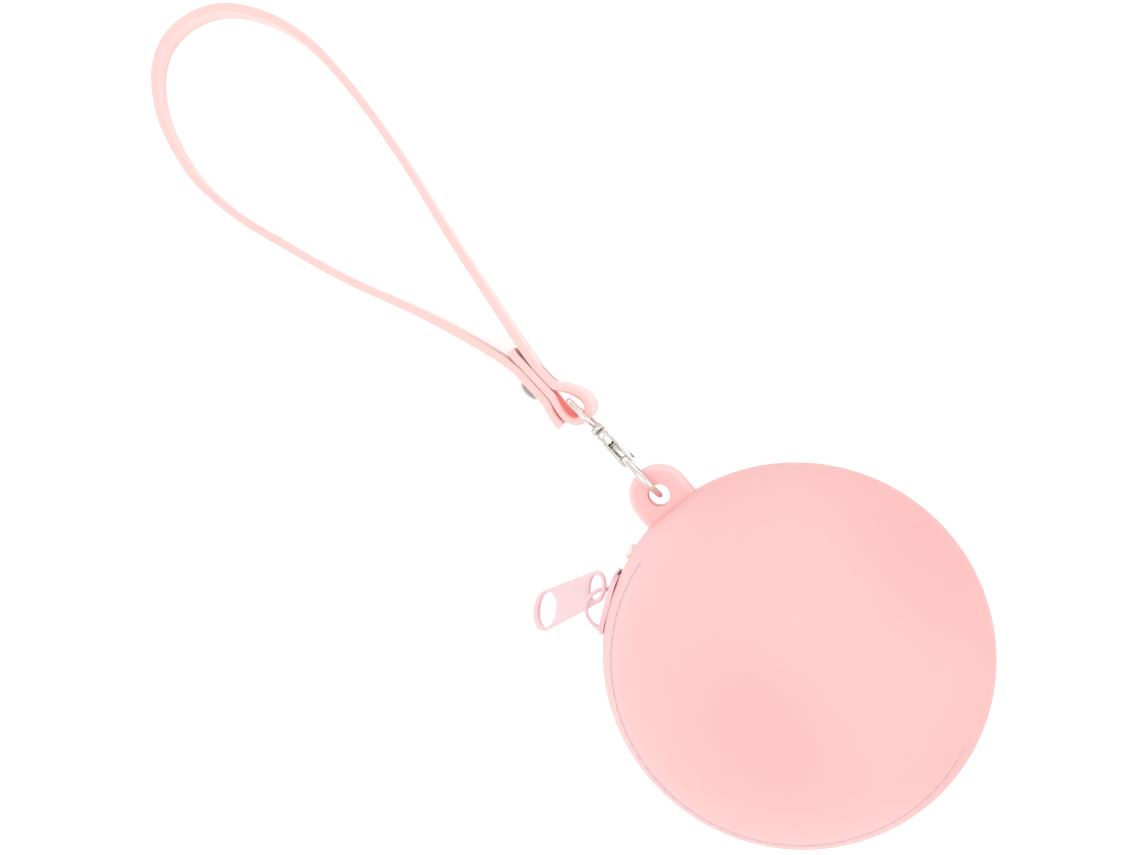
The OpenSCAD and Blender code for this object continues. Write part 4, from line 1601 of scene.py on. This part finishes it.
    def build(self, library: MaterialLibrary) -> None:
        """Makes the pieces.

        Args:
            library: The materials.
        """
        make_piece("wrist_strap", self._band(), library.get("silicone_strap"), "strap",
                   ["strap"], 60.0)
        # Painted shade: the left head takes a darker copy of the nickel.
        make_piece("rivet_head_left_shaded", self._head(-1, self.cap_h), library.get("rivet"), "strap",
                   ["rivet_cap"])
        make_piece("rivet_head_right", self._head(1, self.post_h), library.get("nickel"), "strap",
                   ["rivet_post"])


@dataclass(frozen=True)
class Studio:
    """Camera, light and floor.

    Attributes:
        lens_px: Focal length, in pixels of the photograph.
        photo_w: Width of the photograph, in pixels.
        sensor_w: Width of the camera's sensor, in millimetres.
        sky: Strength of the white world.
        floor_size: Width of the floor, in metres.
        floor_color: Colour of the floor.
        floor_glow: What the camera and the reflections see on top of that.
    """

    lens_px: float = 2400.0
    photo_w: float = 1140.0
    sensor_w: float = 36.0
    sky: float = 0.9
    floor_size: float = 8.0
    floor_color: Color = (0.86, 0.86, 0.86, 1.0)
    floor_glow: float = 0.42

    def build(self) -> None:
        """Makes the camera, the world, the lamps and the floor."""
        for make in (self._camera, self._world, self._lamps, self._floor):
            make()

    def _camera(self) -> None:
        """Sets the camera at the photograph's viewing angle."""
        data = bpy.data.cameras.new("photo_camera")
        data.sensor_width = self.sensor_w
        data.sensor_fit = "HORIZONTAL"
        data.lens = self.sensor_w * self.lens_px / self.photo_w
        data.clip_start = 0.01
        data.clip_end = 20.0
        right = Vector((0.7468, -0.6454, -0.1605)).normalized()
        back = Vector((0.2163, 0.0076, 0.9763))
        back = (back - right * back.dot(right)).normalized()
        place = Vector((107.909, 74.350, 531.649)) * MM
        camera = linked("photo_camera", data)
        columns = [(*axis, 0.0) for axis in (right, back.cross(right), back)] + [(*place, 1.0)]
        camera.matrix_world = Matrix(columns).transposed()
        bpy.context.scene.camera = camera

    def _world(self) -> None:
        """Sets a plain white world."""
        world = bpy.data.worlds.new("plain_world")
        world.use_nodes = True
        sky = world.node_tree.nodes["Background"].inputs
        sky["Color"].default_value = (1.0, 1.0, 1.0, 1.0)
        sky["Strength"].default_value = self.sky
        bpy.context.scene.world = world

    @staticmethod
    def _lamps() -> None:
        """Adds the soft lamps."""
        for name, place, size, power in (
            ("top_soft", (-0.15, 0.2, 1.1), 1.0, 3.2),
            ("side_soft", (0.9, -0.5, 0.6), 0.8, 1.2),
        ):
            data = bpy.data.lights.new(name, "AREA")
            data.shape = "DISK"
            data.size = size
            data.energy = power
            lamp = linked(name, data)
            lamp.location = place
            aim = Vector((0.0, 0.06, 0.0)) - Vector(place)
            lamp.rotation_euler = aim.to_track_quat("-Z", "Y").to_euler()

    def _floor(self) -> None:
        """Adds the pale floor, which the camera sees as white outside the shadows."""
        bpy.ops.mesh.primitive_plane_add(size=self.floor_size, location=(0.0, 0.0, 0.0))
        floor = bpy.context.object
        floor.name = "floor"
        material = bpy.data.materials.new("floor")
        material.use_nodes = True
        graph = Graph(material.node_tree)
        rays = graph.node("LightPath").outputs
        seen = graph.math("MAXIMUM", rays["Is Camera Ray"], rays["Is Glossy Ray"])
        shader = graph.tree.nodes["Principled BSDF"]
        for name, value in (
            ("Base Color", self.floor_color),
            ("Roughness", 0.9),
            ("Specular IOR Level", 0.1),
            ("Emission Color", (1.0, 1.0, 1.0, 1.0)),
            ("Emission Strength", graph.math("MULTIPLY", seen, self.floor_glow)),
        ):
            graph.put(value, shader.inputs[name])
        floor.data.materials.append(material)
        floor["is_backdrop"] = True


class CoinPurseScene:
    """The whole scene."""

    CAD_FINISH = {
        "zipper_tape_lower": "tape",
        "zipper_tape_upper": "tape",
        "stop_closed_lower": "stop",
        "stop_closed_upper": "stop",
        "stop_open": "stop",
        "clasp_swivel_post": "steel",
        "clasp_lever_pin": "steel",
    }

    def __init__(self) -> None:
        """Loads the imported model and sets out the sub-assemblies, each from the one that carries it."""
        self.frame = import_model()
        self.cad_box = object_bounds()
        purse = Purse()
        clasp = Clasp(purse)
        strap = Strap(clasp)
        self.parts = (purse, Slider(purse), clasp, strap)
        self.library = MaterialLibrary(purse, strap)

    def _dress_nodes(self) -> None:
        """Gives the nodes that stay their finishes."""
        for name, finish in self.CAD_FINISH.items():
            node = self.frame["nodes"][name]
            node.data.materials.clear()
            node.data.materials.append(self.library.get(finish))

    def build(self) -> None:
        """Makes every piece and the studio."""
        self._dress_nodes()
        for part in self.parts:
            part.build(self.library)
        Studio().build()
        bpy.context.scene.view_settings.view_transform = "Standard"


def main() -> None:
    """Builds the scene."""
    logging.basicConfig(level=logging.INFO)
    scene = CoinPurseScene()
    scene.build()


if __name__ == "__main__":
    main()
